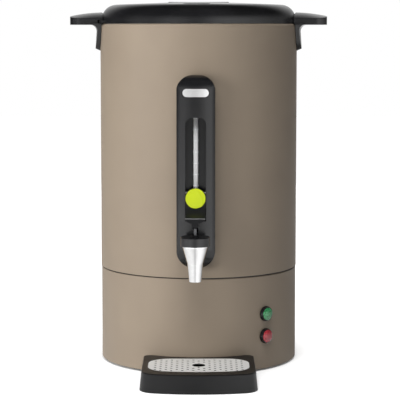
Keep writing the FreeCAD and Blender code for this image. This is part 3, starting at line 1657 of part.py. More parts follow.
def make_insert():
    """Percolator: bell foot in the well, riser tube, filter basket on its collar, spreader on top."""
    outer = s.riser_radius
    bore = outer - s.riser_wall
    tube_start = well_floor + s.foot_bell_height - 8
    keep(turned_body("riser_tube", [
        (bore, tube_start),
        (outer, tube_start),
        (outer, basket_bottom - 3),
        (outer + 5, basket_bottom - 2),
        (outer + 5, basket_bottom),
        (outer, basket_bottom),
        (outer, riser_top),
        (bore, riser_top),
    ]), "riser_tube")
    bell = s.well_radius - s.bell_gap
    keep(turned_body("pump_foot", [
        (bell - 3, well_floor),
        (bell, well_floor),
        (bell, well_floor + 1.5),
        (outer + 1.6, tube_start + 1),
        (outer + 1.6, well_floor + s.foot_bell_height),
        (outer + s.run_gap, well_floor + s.foot_bell_height),
        (outer + s.run_gap, tube_start),
        (bore, tube_start - s.run_gap),
        (bore, tube_start - 2),
    ]), "pump_foot")
    wall = s.basket_wall
    sleeve = outer + s.run_gap * 2
    radius = s.basket_radius
    basket = turned_body("basket_blank", [
        (sleeve, basket_bottom),
        (radius, basket_bottom, 5),
        (radius, basket_top),
        (radius - wall, basket_top),
        (radius - wall, basket_bottom + wall, 4),
        (sleeve + wall, basket_bottom + wall),
        (sleeve + wall, basket_top - 10),
        (sleeve, basket_top - 10),
    ])
    pierced("filter_basket", basket, ((24, 8), (42, 14), (60, 20)), basket_bottom)
    dish = s.spreader_dish
    spreader = turned_body("spreader_blank", [
        (sleeve, basket_top - dish),
        (radius - wall - 6, basket_top - dish, 3),
        (radius - wall - 1.5, basket_top),
        (radius + 1.5, basket_top),
        (radius + 1.5, basket_top + wall),
        (radius - wall - 2, basket_top + wall),
        (radius - wall - 6.5, basket_top - dish + wall, 2),
        (sleeve, basket_top - dish + wall),
    ])
    pierced("basket_spreader", spreader, ((24, 8), (48, 16)), basket_top - dish)


def pierced(label, blank, rings, floor):
    """Cuts rings (radius, count) of small drain holes through a floor."""
    holes = []
    for radius, count in rings:
        for index in range(count):
            turn = math.radians(360 * index / count)
            spot = Vector(radius * math.cos(turn), radius * math.sin(turn), float(floor) - 2)
            holes.append(Part.makeCylinder(1.5, 5, spot))
    tool = doc.addObject("Part::Feature", label + "_holes")
    tool.Shape = Part.makeCompound(holes)
    keep(combine("Cut", label, blank, [tool]), label)


def write_parts():
    """Checks every object of the document, then writes each sub-part."""
    doc.recompute()
    for thing in doc.Objects:
        if "Invalid" in thing.State or "Error" in thing.State:
            raise RuntimeError(f"{thing.Name} ({thing.Label}) failed: {thing.State}")
    for label, thing in parts.items():
        if thing.Shape.isNull() or not thing.Shape.isValid() or not thing.Shape.Solids:
            raise RuntimeError(f"{label} has no valid solid")
    os.makedirs("parts", exist_ok=True)
    for label, thing in parts.items():
        thing.Shape.exportStep(os.path.join("parts", label + ".step"))
    print(f"{len(parts)} sub-parts written")


for step in (
        make_tank, make_base_shell, make_bottom_plate, make_feet, make_ties, make_lid, make_lid_liner,
        make_lid_fittings, make_handle, make_handle_screws, make_column, make_badge, make_sight_tube,
        make_tap_body, make_bonnet, make_stem, make_spring, make_lever, make_lever_fittings,
        make_shank_fittings, make_lamps, make_elements, make_controls, make_inlet, make_switch,
        make_wiring, make_tray, make_drip_plate, make_insert):
    step()

write_parts()
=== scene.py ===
import math

import bpy
import numpy as np
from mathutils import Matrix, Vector


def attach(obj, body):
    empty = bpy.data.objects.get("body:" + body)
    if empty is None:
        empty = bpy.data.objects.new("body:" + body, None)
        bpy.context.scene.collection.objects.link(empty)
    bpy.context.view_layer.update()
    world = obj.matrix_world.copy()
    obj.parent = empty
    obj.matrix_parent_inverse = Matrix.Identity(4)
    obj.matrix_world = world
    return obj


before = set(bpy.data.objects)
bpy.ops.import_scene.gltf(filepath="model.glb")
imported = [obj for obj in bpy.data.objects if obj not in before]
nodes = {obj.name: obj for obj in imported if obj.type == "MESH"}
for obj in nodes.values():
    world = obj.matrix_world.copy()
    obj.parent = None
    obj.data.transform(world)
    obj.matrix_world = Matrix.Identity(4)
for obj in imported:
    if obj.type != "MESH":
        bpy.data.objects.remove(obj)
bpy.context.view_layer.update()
scene = bpy.context.scene
print("frame loaded:", len(nodes), "nodes")

mm = 0.001

# Camera: in front of the tap, a little to its right, slightly below the lid's height.
# Metres and degrees, the sensor in mm
view = {
    "distance": 2.1934,
    "height": 0.4573,
    "azimuth": 1.4,
    "pan": -0.0483,
    "pitch": 4.753,
    "focalPixels": 1576.1,
    "imagePixels": 400,
    "sensor": 36,
    "shift": -0.10,
    "clipEnd": 50,
}


def standAt(azimuth, distance, height):
    # A place by its azimuth from the front towards +X: (d sin a, -d cos a, height)
    turn = math.radians(azimuth)
    return (distance * math.sin(turn), -distance * math.cos(turn), height)


def placeCamera():
    data = bpy.data.cameras.new("studioCamera")
    camera = bpy.data.objects.new("studioCamera", data)
    scene.collection.objects.link(camera)
    camera.location = standAt(view["azimuth"], view["distance"], view["height"])
    camera.rotation_euler = (
        math.radians(90 - view["pitch"]), 0, math.radians(view["azimuth"] + view["pan"]))
    data.sensor_width = view["sensor"]
    data.lens = view["focalPixels"] / view["imagePixels"] * view["sensor"]
    data.shift_y = view["shift"]
    data.clip_end = view["clipEnd"]
    scene.camera = camera


placeCamera()
print("camera placed")


def linear(hexColour):
    # sRGB hex to linear: c/12.92 below 0.04045, else ((c + 0.055)/1.055)^2.4
    parts = [int(hexColour[i:i + 2], 16) / 255 for i in (1, 3, 5)]
    return [c / 12.92 if c <= 0.04045 else ((c + 0.055) / 1.055) ** 2.4 for c in parts] + [1.0]


def fillSockets(tree, node, links):
    # Each value is a socket to join or a number to set
    for name, value in links.items():
        if isinstance(value, bpy.types.NodeSocket):
            tree.links.new(value, node.inputs[name])
        else:
            node.inputs[name].default_value = value


def addNode(tree, kind, settings=None, links=None, stops=None):
    # Adds one shader node. Stops are the positions and colours along a colour ramp
    node = tree.nodes.new("ShaderNode" + kind)
    for name, value in (settings or {}).items():
        setattr(node, name, value)
    fillSockets(tree, node, links or {})
    if stops:
        elements = node.color_ramp.elements
        while len(elements) < len(stops):
            elements.new(0.5)
        for element, (position, colour) in zip(elements, stops):
            element.position = position
            element.color = colour
    return node


def startMaterial(name):
    material = bpy.data.materials.new(name)
    material.use_nodes = True
    tree = material.node_tree
    tree.nodes.clear()
    shader = addNode(tree, "BsdfPrincipled")
    addNode(tree, "OutputMaterial", links={"Surface": shader.outputs["BSDF"]})
    coords = addNode(tree, "TexCoord").outputs["Object"]
    return material, tree, shader, coords


# Grain and clouds are noise. It lies mostly between the two levels, so tones and roughness run
# from one end to the other there
noise = {"roughness": 0.55, "levels": (0.3, 0.7), "cloudDetail": 2.0}
edgeSamples = 6


def patternOf(tree, coords, size, detail=noise["cloudDetail"], stretch=(1, 1, 1)):
    # Noise whose features are about size mm across, drawn out along an axis where stretch is small
    mapping = addNode(tree, "Mapping", links={
        "Vector": coords, "Scale": [share / (size * mm) for share in stretch]})
    return addNode(tree, "TexNoise", links={
        "Vector": mapping.outputs["Vector"], "Scale": 1.0, "Detail": detail,
        "Roughness": noise["roughness"]}).outputs["Fac"]


def dressShader(tree, shader, tint, tones, cloud, roughness, grain, relief, edge):
    # Tones that follow tint, roughness that follows cloud, and grain as relief in mm over normals
    # that the Bevel node rounds off at the edges, as a moulding or pressing has them
    low, high = noise["levels"]
    colour = addNode(tree, "ValToRGB", links={"Fac": tint}, stops=[
        (low, linear(tones[0])), (high, linear(tones[1]))])
    wander = addNode(tree, "MapRange", links={
        "Value": cloud, "From Min": low, "From Max": high,
        "To Min": roughness[0], "To Max": roughness[1]})
    rounded = addNode(tree, "Bevel", {"samples": edgeSamples}, {"Radius": edge * mm})
    bump = addNode(tree, "Bump", links={
        "Height": grain, "Distance": relief * mm, "Strength": 1.0,
        "Normal": rounded.outputs["Normal"]})
    fillSockets(tree, shader, {
        "Base Color": colour.outputs["Color"], "Roughness": wander.outputs["Result"],
        "Normal": bump.outputs["Normal"]})
    return colour.outputs["Color"]


# What all plastics share, and what all metals share. Sizes in mm
plastic = {"detail": 3.0, "cloud": 35, "wander": (-0.04, 0.04), "ior": 1.5}
metal = {"detail": 4.0, "cloud": 40, "wander": (-0.03, 0.05)}


def mouldedPlastic(name, tones, roughness, grain, edge, relief, gloss=0.5):
    material, tree, shader, coords = startMaterial(name)
    cloud = patternOf(tree, coords, plastic["cloud"])
    dressShader(tree, shader, cloud, tones, cloud,
                [roughness + step for step in plastic["wander"]],
                patternOf(tree, coords, grain, plastic["detail"]), relief, edge)
    fillSockets(tree, shader, {"IOR": plastic["ior"], "Specular IOR Level": gloss})
    return material


def workedMetal(name, tones, roughness, grain, stretch=(1, 1, 1), edge=0.3, relief=0.004):
    material, tree, shader, coords = startMaterial(name)
    scratches = patternOf(tree, coords, grain, metal["detail"], stretch)
    dressShader(tree, shader, scratches, tones, patternOf(tree, coords, metal["cloud"]),
                [roughness + step for step in metal["wander"]], scratches, relief, edge)
    fillSockets(tree, shader, {"Metallic": 1.0})
    return material


# Stainless plate, blasted and pale. Painted shade: the walls of its holes, below the top face, are
# painted dark, and so is a narrow ring round each hole and along the plate's edges, where they
# would lie in shadow. Sizes in mm. A wall turns pale between two depths below the top face, and
# the ring between two levels of how alike the rounded and the plain normal are
drainPlate = {"tones": ("#f0f0ee", "#f8f8f6"), "hole": "#2c2c2c", "roughness": (0.57, 0.65),
              "metallic": 0.15, "grain": 0.5, "stretch": (0.3, 1, 1), "relief": 0.004, "edge": 0.3,
              "wall": (0.06, 0.01), "roll": 0.6, "rollSamples": 8, "ring": (0.80, 0.97)}


def drainPlateMaterial():
    material, tree, shader, coords = startMaterial("stainlessSheetBlasted")
    grain = patternOf(tree, coords, drainPlate["grain"], metal["detail"], drainPlate["stretch"])
    pale = dressShader(tree, shader, grain, drainPlate["tones"], grain, drainPlate["roughness"],
                       grain, drainPlate["relief"], drainPlate["edge"])
    topFace = max(vertex.co.z for vertex in nodes["drip_plate"].data.vertices)
    height = addNode(tree, "SeparateXYZ", links={"Vector": coords}).outputs["Z"]
    flat = addNode(tree, "MapRange", links={
        "Value": height, "From Min": topFace - drainPlate["wall"][0] * mm,
        "From Max": topFace - drainPlate["wall"][1] * mm})
    rolled = addNode(tree, "Bevel", {"samples": drainPlate["rollSamples"]},
                     {"Radius": drainPlate["roll"] * mm})
    plain = addNode(tree, "NewGeometry").outputs["Normal"]
    alike = addNode(tree, "VectorMath", {"operation": "DOT_PRODUCT"}, {
        0: rolled.outputs["Normal"], 1: plain})
    level = addNode(tree, "MapRange", links={
        "Value": alike.outputs["Value"], "From Min": drainPlate["ring"][0],
        "From Max": drainPlate["ring"][1]})
    unshadedShare = addNode(tree, "Math", {"operation": "MULTIPLY"}, {
        0: flat.outputs["Result"], 1: level.outputs["Result"]})
    # Painted shade: hole walls and the ring round each rim take the dark hole colour
    colour = addNode(tree, "MixRGB", links={
        "Fac": unshadedShare.outputs["Value"], "Color1": linear(drainPlate["hole"]), "Color2": pale})
    fillSockets(tree, shader, {
        "Base Color": colour.outputs["Color"], "Metallic": drainPlate["metallic"]})
    return material


# Moulded acetal: near black and dull, with a pale line painted along the lip's front edge as a
# painted highlight, where its rounded edge would catch the light. Sizes in mm. Each pair is where
# the line starts to fade and where it ends, above and below the crest and back from the front
leverFinish = {"tones": ("#1b1b1c", "#1f1f20"), "paintedHighlight": "#a2a2a4", "roughness": 0.40, "grain": 0.9,
               "edge": 0.4, "relief": 0.008, "gloss": 0.15,
               "lineHalf": (0.375, 0.75), "lineDepth": (1.6, 2.08)}


def leverMaterial():
    material, tree, shader, coords = startMaterial("acetalMouldedBlack")
    cloud = patternOf(tree, coords, plastic["cloud"])
    black = dressShader(tree, shader, cloud, leverFinish["tones"], cloud,
                        [leverFinish["roughness"] + step for step in plastic["wander"]],
                        patternOf(tree, coords, leverFinish["grain"], plastic["detail"]),
                        leverFinish["relief"], leverFinish["edge"])
    corners = [vertex.co for vertex in nodes["tap_lever"].data.vertices]
    front = min(corner.y for corner in corners)
    fadeStart, fadeEnd = (front + depth * mm for depth in leverFinish["lineDepth"])
    crest = max(corner.z for corner in corners if corner.y < fadeStart)
    axes = addNode(tree, "SeparateXYZ", links={"Vector": coords}).outputs
    fromCrest = addNode(tree, "Math", {"operation": "SUBTRACT"}, {0: axes["Z"], 1: crest})
    away = addNode(tree, "Math", {"operation": "ABSOLUTE"}, {0: fromCrest.outputs["Value"]})
    nearCrest = addNode(tree, "MapRange", links={
        "Value": away.outputs["Value"], "From Min": leverFinish["lineHalf"][0] * mm,
        "From Max": leverFinish["lineHalf"][1] * mm, "To Min": 1.0, "To Max": 0.0})
    atFront = addNode(tree, "MapRange", links={
        "Value": axes["Y"], "From Min": fadeStart, "From Max": fadeEnd,
        "To Min": 1.0, "To Max": 0.0})
    # Painted highlight: pale near the crest of the lip's front face, fading back from the front
    paintedHighlightMask = addNode(tree, "Math", {"operation": "MULTIPLY"}, {
        0: nearCrest.outputs["Result"], 1: atFront.outputs["Result"]})
    colour = addNode(tree, "MixRGB", links={
        "Fac": paintedHighlightMask.outputs["Value"], "Color1": black, "Color2": linear(leverFinish["paintedHighlight"])})
    fillSockets(tree, shader, {
        "Base Color": colour.outputs["Color"], "IOR": plastic["ior"],
        "Specular IOR Level": leverFinish["gloss"]})
    return material


# Drawn borosilicate: a thin clear wall, so what lies behind shows through, and light reaches it
tubeGlass = {"colour": "#e8eeee", "ior": 1.47, "roughness": (0.05, 0.06), "alpha": 0.06,
             "cloud": 12}


def tubeGlassMaterial():
    material, tree, shader, coords = startMaterial("borosilicateDrawnClear")
    wander = addNode(tree, "MapRange", links={
        "Value": patternOf(tree, coords, tubeGlass["cloud"]),
        "From Min": noise["levels"][0], "From Max": noise["levels"][1],
        "To Min": tubeGlass["roughness"][0], "To Max": tubeGlass["roughness"][1]})
    fillSockets(tree, shader, {
        "Base Color": linear(tubeGlass["colour"]), "IOR": tubeGlass["ior"],
        "Alpha": tubeGlass["alpha"], "Roughness": wander.outputs["Result"]})
    return material


# Polyester powder coat: an even matt taupe with a faint orange peel, drawn at 1.4 mm so that it
# shows. Painted shade: a dark band is painted along the seam above the base, as far as the seam's
# lips, where the gap holds shadow. Sizes in mm
powderCoat = {"tones": ("#908272", "#968877"), "roughness": (0.48, 0.52), "peel": 1.4, "cloud": 90,
              "relief": 0.02, "edge": 0.5, "ior": 1.5, "seamShade": "#1c150f",
              "seam": 129.1, "seamHalf": 0.85, "seamFade": 0.08}


def powderCoatMaterial():
    material, tree, shader, coords = startMaterial("powderCoatTaupeMatt")
    cloud = patternOf(tree, coords, powderCoat["cloud"])
    taupe = dressShader(tree, shader, cloud, powderCoat["tones"], cloud, powderCoat["roughness"],
                        patternOf(tree, coords, powderCoat["peel"]),
                        powderCoat["relief"], powderCoat["edge"])
    height = addNode(tree, "SeparateXYZ", links={"Vector": coords}).outputs["Z"]
    fromSeam = addNode(tree, "Math", {"operation": "SUBTRACT"}, {
        0: height, 1: powderCoat["seam"] * mm})
    away = addNode(tree, "Math", {"operation": "ABSOLUTE"}, {0: fromSeam.outputs["Value"]})
    clear = addNode(tree, "MapRange", links={
        "Value": away.outputs["Value"],
        "From Min": (powderCoat["seamHalf"] - powderCoat["seamFade"]) * mm,
        "From Max": powderCoat["seamHalf"] * mm})
    # Painted shade: inside the seam band the coat takes the dark seam colour
    colour = addNode(tree, "MixRGB", links={
        "Fac": clear.outputs["Result"], "Color1": linear(powderCoat["seamShade"]),
        "Color2": taupe})
    fillSockets(tree, shader, {"Base Color": colour.outputs["Color"], "IOR": powderCoat["ior"]})
    return material


# Moulded polycarbonate lens: small prisms on its back, drawn as bumps. The light and dark they
# throw is painted into the colour: a painted highlight at each facet's middle and painted shade
# towards its edges. Their width and relief in mm
lens = {"facet": 1.5, "relief": 0.15, "strength": 0.5, "deepFrom": 0.8, "roughness": 0.22,
        "ior": 1.58, "clearness": 0.15, "skin": 0.3, "skinRoughness": 0.08}


def lensMaterial(name, deep, bright):
    material, tree, shader, coords = startMaterial(name)
    distance = addNode(tree, "TexVoronoi", links={
        "Vector": coords, "Scale": 1 / (lens["facet"] * mm)}).outputs["Distance"]
    # Painted light and shade: bright at each facet's middle, deep towards its edges
    paintedFacetLight = addNode(tree, "ValToRGB", links={"Fac": distance}, stops=[
        (0.0, linear(bright)), (lens["deepFrom"], linear(deep))])
    bump = addNode(tree, "Bump", links={
        "Height": distance, "Distance": lens["relief"] * mm, "Strength": lens["strength"]})
    fillSockets(tree, shader, {
        "Base Color": paintedFacetLight.outputs["Color"], "Normal": bump.outputs["Normal"],
        "Roughness": lens["roughness"], "IOR": lens["ior"],
        "Transmission Weight": lens["clearness"], "Coat Weight": lens["skin"],
        "Coat Roughness": lens["skinRoughness"]})
    return material


# Grain, edge rounding and relief in mm
finishes = {
    # Glass-filled nylon with a satin grain: dark, lifted by the soft lights on upright faces
    "satinBlack": mouldedPlastic("nylonMouldedSatinBlack", ("#141415", "#18181a"), 0.22,
                                 grain=0.9, edge=1.0, relief=0.010),
    # Polypropylene: duller, so that the tray's rim stays near black against the pale plate
    "trayBlack": mouldedPlastic("polypropyleneMouldedBlack", ("#161617", "#1a1a1b"), 0.42,
                                grain=0.9, edge=0.8, relief=0.012, gloss=0.4),
    "leverBlack": leverMaterial(),
    # ABS with a polished skin: black fittings with a crisp highlight
    "polishedBlack": mouldedPlastic("absMouldedPolishedBlack", ("#141415", "#18181a"), 0.22,
                                    grain=3.0, edge=0.4, relief=0.004),
    # Cast acrylic: a fresh, even yellow-green
    "discGreen": mouldedPlastic("acrylicCastYellowGreen", ("#c9da18", "#d0e020"), 0.3,
                                grain=4.0, edge=0.3, relief=0.003),
    # Melamine: a plain, slightly chalky grey
    "melamine": mouldedPlastic("melamineMouldedGrey", ("#9a988f", "#a7a59c"), 0.5,
                               grain=0.6, edge=0.3, relief=0.02),
    # Silicone rubber: milky, with a soft sheen
    "silicone": mouldedPlastic("siliconeMouldedMilky", ("#c9c6bd", "#d6d3ca"), 0.48,
                               grain=2.0, edge=0.3, relief=0.01),
    # Nitrile rubber: dull black with hardly any highlight
    "footRubber": mouldedPlastic("nitrileMouldedDullBlack", ("#1a1a1a", "#232323"), 0.75,
                                 grain=0.8, edge=0.5, relief=0.03),
    # Glass-fibre sleeve on the wires: off-white and rough
    "wireSleeve": mouldedPlastic("fibreSleeveBraidedWhite", ("#d8d4c6", "#e6e2d6"), 0.7,
                                 grain=0.7, edge=0.2, relief=0.04),
    # Chrome plate on brass: a mirror of the studio's bright and dark bands
    "chrome": workedMetal("chromePlatePolished", ("#e2e2e2", "#ececec"), 0.07,
                          grain=6.0, edge=0.5, relief=0.0008),
    "plateSteel": drainPlateMaterial(),
    # Anodised aluminium, brushed along X: pale and even
    "badgeMetal": workedMetal("aluminiumAnodisedPale", ("#e0e0e0", "#ececec"), 0.36,
                              grain=0.4, stretch=(0.03, 1, 1)),
    # Stainless rod, ground: darker and duller than the drawn pieces
    "stemSteel": workedMetal("stainlessGroundDull", ("#5c5c5e", "#6e6e70"), 0.40,
                             grain=0.6, stretch=(0.04, 0.04, 1)),
    # Stainless, drawn: a satin of fine rings round upright pieces
    "drawnSteel": workedMetal("stainlessDrawnSatin", ("#b4b3b0", "#d2d1ce"), 0.28,
                              grain=0.6, stretch=(0.04, 0.04, 1)),
    # Zinc plate from the barrel: slightly yellowed
    "zinc": workedMetal("zincPlateBarrelled", ("#b9b7ac", "#cdcbc2"), 0.38, grain=2.0),
    # Bare drawn copper: the warm line of the capillary
    "copper": workedMetal("copperDrawnBare", ("#c27a52", "#d48a60"), 0.3, grain=1.0),
    "powderCoat": powderCoatMaterial(),
    "tubeGlass": tubeGlassMaterial(),
    "greenLens": lensMaterial("polycarbonateMouldedGreen", "#167a3e", "#5fd08a"),
    "redLens": lensMaterial("polycarbonateMouldedRed", "#a31322", "#e4525e"),
}

nodesOfFinish = {
    "powderCoat": ["tank", "base_shell"],
    "satinBlack": ["lid", "handle_left", "handle_right", "tap_column", "tap_bonnet",
                   "switch_rocker"],
    "trayBlack": ["drip_tray"],
    "leverBlack": ["tap_lever"],
    "polishedBlack": ["green_lamp", "red_lamp", "reset_button", "power_inlet", "switch_frame"],
    "discGreen": ["lever_disc"],
    "melamine": ["reset_cutout", "terminal_block"],
    "silicone": ["lid_seal", "tube_seals", "seat_cup", "gasket_inner", "gasket_outer"],
    "footRubber": ["feet"],
    "wireSleeve": ["wiring"],
    "chrome": ["tap_body"],
    "plateSteel": ["drip_plate"],
    "badgeMetal": ["badge_plate"],
    "stemSteel": ["valve_stem"],
    "drawnSteel": ["lid_liner", "handle_screws", "column_screw", "lever_pin", "stem_spring",
                   "shank_nut", "boil_element", "warm_element", "thermostat", "riser_tube",
                   "pump_foot", "filter_basket", "basket_spreader"],
    "zinc": ["bottom_plate", "tie_studs", "tie_nuts", "lid_screws", "lamp_nuts", "inlet_pins",
             "inlet_screws"],
    "copper": ["capillary"],
    "tubeGlass": ["sight_tube"],
    "greenLens": ["green_lens"],
    "redLens": ["red_lens"],
}
finishOfNode = {name: finish for finish, names in nodesOfFinish.items() for name in names}
for name, node in nodes.items():
    for place in range(len(node.data.materials)):
        node.data.materials[place] = finishes[finishOfNode[name]]
print("finishes on", len(finishOfNode), "nodes")


def surfaceFrom(name, points, material, closedU=False, closedV=False):
    # A grid of points [u, v, xyz] as quads, wrapped round where closed, with one face over each
    # open end of what is closed
    rows, columns = points.shape[:2]
    u = np.arange(rows if closedU else rows - 1)
    v = np.arange(columns if closedV else columns - 1)
    a, b = np.meshgrid(u, v, indexing="ij")
    nextA, nextB = (a + 1) % rows, (b + 1) % columns
    grid = np.arange(rows * columns).reshape(rows, columns)
    faces = np.stack([grid[a, b], grid[nextA, b], grid[nextA, nextB], grid[a, nextB]], -1)
    faces = faces.reshape(-1, 4).tolist()
    if closedU:
        faces += [grid[::-1, 0].tolist(), grid[:, -1].tolist()]
    elif closedV:
        faces += [grid[0].tolist(), grid[-1, ::-1].tolist()]
    mesh = bpy.data.meshes.new(name)
    mesh.from_pydata(points.reshape(-1, 3).tolist(), [], faces)
    mesh.polygons.foreach_set("use_smooth", np.full(len(faces), True))
    mesh.update()
    piece = bpy.data.objects.new(name, mesh)
    scene.collection.objects.link(piece)
    piece.data.materials.append(material)
    return piece


# The sight tube's axis in x and y, in mm
tubeAxis = (0.0, -150.0)

# White stripe with a grey centre line, fired on the front of the sight tube as the ground of its
# marks. The line fades out between its two half widths. Sizes in mm, the half turn in degrees
stripe = {"radius": 3.56, "thickness": 0.15, "halfTurn": 55, "bottom": 196, "top": 343,
          "lineHalf": (0.28, 0.448), "band": "#ececec", "line": "#c4c6c8", "roughness": 0.35,
          "pointsRound": 17, "pointsUp": 3}


def stripeMaterial():
    # Fired enamel: smooth and a little glossy, so the white stays clean in every light
    material, tree, shader, coords = startMaterial("enamelFiredWhiteStripe")
    across = addNode(tree, "SeparateXYZ", links={"Vector": coords}).outputs["X"]
    away = addNode(tree, "Math", {"operation": "ABSOLUTE"}, {0: across})
    beside = addNode(tree, "MapRange", links={
        "Value": away.outputs["Value"], "From Min": stripe["lineHalf"][0] * mm,
        "From Max": stripe["lineHalf"][1] * mm})
    colour = addNode(tree, "ValToRGB", links={"Fac": beside.outputs["Result"]}, stops=[
        (0.0, linear(stripe["line"])), (1.0, linear(stripe["band"]))])
    fillSockets(tree, shader, {
        "Base Color": colour.outputs["Color"], "Roughness": stripe["roughness"]})
    return material


def makeStripe():
    # A point at angle a from the tube's front and height z is the axis plus r (-sin a, -cos a),
    # along the inner skin and back along the outer one
    angle = np.radians(np.linspace(-stripe["halfTurn"], stripe["halfTurn"], stripe["pointsRound"]))
    height = np.linspace(stripe["bottom"], stripe["top"], stripe["pointsUp"])
    turn, z = np.meshgrid(np.concatenate([angle, angle[::-1]]), height, indexing="ij")
    skins = [stripe["radius"], stripe["radius"] + stripe["thickness"]]
    radius = np.repeat(skins, stripe["pointsRound"])[:, None]
    x = tubeAxis[0] - radius * np.sin(turn)
    y = tubeAxis[1] - radius * np.cos(turn)
    piece = surfaceFrom("gaugeStripe", np.stack([x, y, z], -1) * mm, stripeMaterial(),
                        closedU=True)
    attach(piece, "urn")


# Marks screen-printed round the front of the tube in flat, bright white ink, one for each step of
# the level. Sizes in mm, the half turn in degrees
marks = {"radius": 3.74, "bulge": 0.12, "height": 0.9, "pitch": 14.6, "first": 254.2, "count": 7,
         "halfTurn": 80, "pointsRound": 25, "pointsUp": 6}


def makeMarks():
    # Each mark is a thin band round the tube: at share v of its height the radius is the mark's
    # own plus bulge sin(pi v), so that it swells in the middle
    material = mouldedPlastic("inkPrintedWhite", ("#fcfcfc", "#ffffff"), 0.4,
                              grain=2.0, edge=0.1, relief=0.002)
    angle = np.radians(np.linspace(-marks["halfTurn"], marks["halfTurn"], marks["pointsRound"]))
    turn, v = np.meshgrid(angle, np.linspace(0, 1, marks["pointsUp"]), indexing="ij")
    radius = marks["radius"] + marks["bulge"] * np.sin(np.pi * v)
    x = tubeAxis[0] + radius * np.sin(turn)
    y = tubeAxis[1] - radius * np.cos(turn)
    for index in range(marks["count"]):
        z = marks["first"] + index * marks["pitch"] + (v - 0.5) * marks["height"]
        piece = surfaceFrom(f"levelMark{index + 1}", np.stack([x, y, z], -1) * mm, material,
                            closedV=True)
        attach(piece, "urn")


makeStripe()
makeMarks()
print("sight tube marked")

# Studio: two tall soft lights to the left, one above and a weaker one behind, none of which
# glossy faces mirror. Metres and degrees, the azimuth from the front towards +X
lights = {
    "sideLight": {"azimuth": -70, "distance": 2.4, "height": 0.42, "factor": 0.56},
    "keyLight": {"azimuth": -45, "distance": 2.4, "height": 0.42, "factor": 0.55},
    "topLight": {"azimuth": 0, "distance": 1.2, "height": 2.2, "factor": 0.66},
    "backLight": {"azimuth": 170, "distance": 2.4, "height": 0.42, "factor": 0.35},
}
lightSize = (1.2, 1.4)
aimHeight = 0.25


def addLight(name, setting):
    data = bpy.data.lights.new(name, "AREA")
    data.shape = "RECTANGLE"
    data.size, data.size_y = lightSize
    # Power that lights a facing matt surface to factor times its own colour: pi^2 d^2 factor
    reach = math.hypot(setting["distance"], setting["height"] - aimHeight)
    data.energy = math.pi ** 2 * reach ** 2 * setting["factor"]
    lamp = bpy.data.objects.new(name, data)
    scene.collection.objects.link(lamp)
    lamp.location = standAt(setting["azimuth"], setting["distance"], setting["height"])
    aim = Vector((0, 0, aimHeight)) - lamp.location
    lamp.rotation_euler = aim.to_track_quat("-Z", "Y").to_euler()
    lamp.visible_glossy = False


def greyAlong(tree, source, low, high, stops):
    # Grey level by a number that runs from low to high
    share = addNode(tree, "MapRange", links={"Value": source, "From Min": low, "From Max": high})
    return addNode(tree, "ValToRGB", links={"Fac": share.outputs["Result"]}, stops=[
        ((at - low) / (high - low), (grey, grey, grey, 1)) for at, grey in stops]).outputs["Color"]


def greyRound(tree, axes, stops):
    # Grey level by azimuth, in degrees from the front towards +X
    forward = addNode(tree, "Math", {"operation": "MULTIPLY"}, {0: axes["Y"], 1: -1.0})
    turn = addNode(tree, "Math", {"operation": "ARCTAN2"}, {
        0: axes["X"], 1: forward.outputs["Value"]})
    degrees = addNode(tree, "Math", {"operation": "DEGREES"}, {0: turn.outputs["Value"]})
    return greyAlong(tree, degrees.outputs["Value"], -180, 180, stops)


white = (1, 1, 1, 1)

# World: plain white to the camera, and soft panels round the urn that glossy and clear faces show
surround = {
    "ambient": 0.02,
    "strength": 2.5,
    # Azimuth, and the share of the strength seen there
    "panels": [(-180, 0.40), (-150, 0.10), (-140, 0.05), (-100, 0.02), (-75, 0.20), (-55, 0.14),
               (-38, 0.34), (-22, 0.40), (-7, 0.18), (7, 0.24), (22, 0.59), (38, 0.61),
               (55, 0.52), (75, 0.38), (100, 0.18), (140, 0.05), (150, 0.10), (180, 0.40)],
    # Height of the direction's unit vector, and the share left there
    "heights": [(0.0, 1.0), (0.10, 1.0), (0.28, 0.45), (0.50, 0.12), (1.0, 0.05)],
    # A soft box behind and above: how far back the direction points, how high, and its strength
    "boxBack": [(0.5, 0.0), (0.95, 1.0), (1.0, 1.0)],
    "boxHeights": [(0.10, 0.0), (0.25, 0.5), (0.45, 1.0), (0.70, 0.8), (0.85, 0.0)],
    "boxStrength": 0.9,
}


def makeWorld():
    world = bpy.data.worlds.new("studioWorld")
    scene.world = world
    world.use_nodes = True
    tree = world.node_tree
    tree.nodes.clear()
    path = addNode(tree, "LightPath").outputs
    direction = addNode(tree, "TexCoord").outputs["Generated"]
    axes = addNode(tree, "SeparateXYZ", links={"Vector": direction}).outputs
    panels = addNode(tree, "Math", {"operation": "MULTIPLY"}, {
        0: greyRound(tree, axes, surround["panels"]),
        1: greyAlong(tree, axes["Z"], 0, 1, surround["heights"])})
    softBox = addNode(tree, "Math", {"operation": "MULTIPLY"}, {
        0: greyAlong(tree, axes["Y"], 0, 1, surround["boxBack"]),
        1: greyAlong(tree, axes["Z"], 0, 1, surround["boxHeights"])})
    boxLevel = addNode(tree, "Math", {"operation": "MULTIPLY"}, {
        0: softBox.outputs["Value"], 1: surround["boxStrength"]})
    level = addNode(tree, "Math", {"operation": "MULTIPLY_ADD"}, {
        0: panels.outputs["Value"], 1: surround["strength"], 2: boxLevel.outputs["Value"]})
    reflected = addNode(tree, "Math", {"operation": "MAXIMUM"}, {
        0: path["Is Glossy Ray"], 1: path["Is Transmission Ray"]})
    ambient = addNode(tree, "Background", links={
        "Color": white, "Strength": surround["ambient"]})
    mirrored = addNode(tree, "Background", links={
        "Color": white, "Strength": level.outputs["Value"]})
    backdrop = addNode(tree, "Background", links={"Color": white, "Strength": 1.0})
    unseen = addNode(tree, "MixShader", links={
        0: reflected.outputs["Value"], 1: ambient.outputs["Background"],
        2: mirrored.outputs["Background"]})
    whole = addNode(tree, "MixShader", links={
        0: path["Is Camera Ray"], 1: unseen.outputs["Shader"], 2: backdrop.outputs["Background"]})
    addNode(tree, "OutputWorld", links={"Surface": whole.outputs["Shader"]})


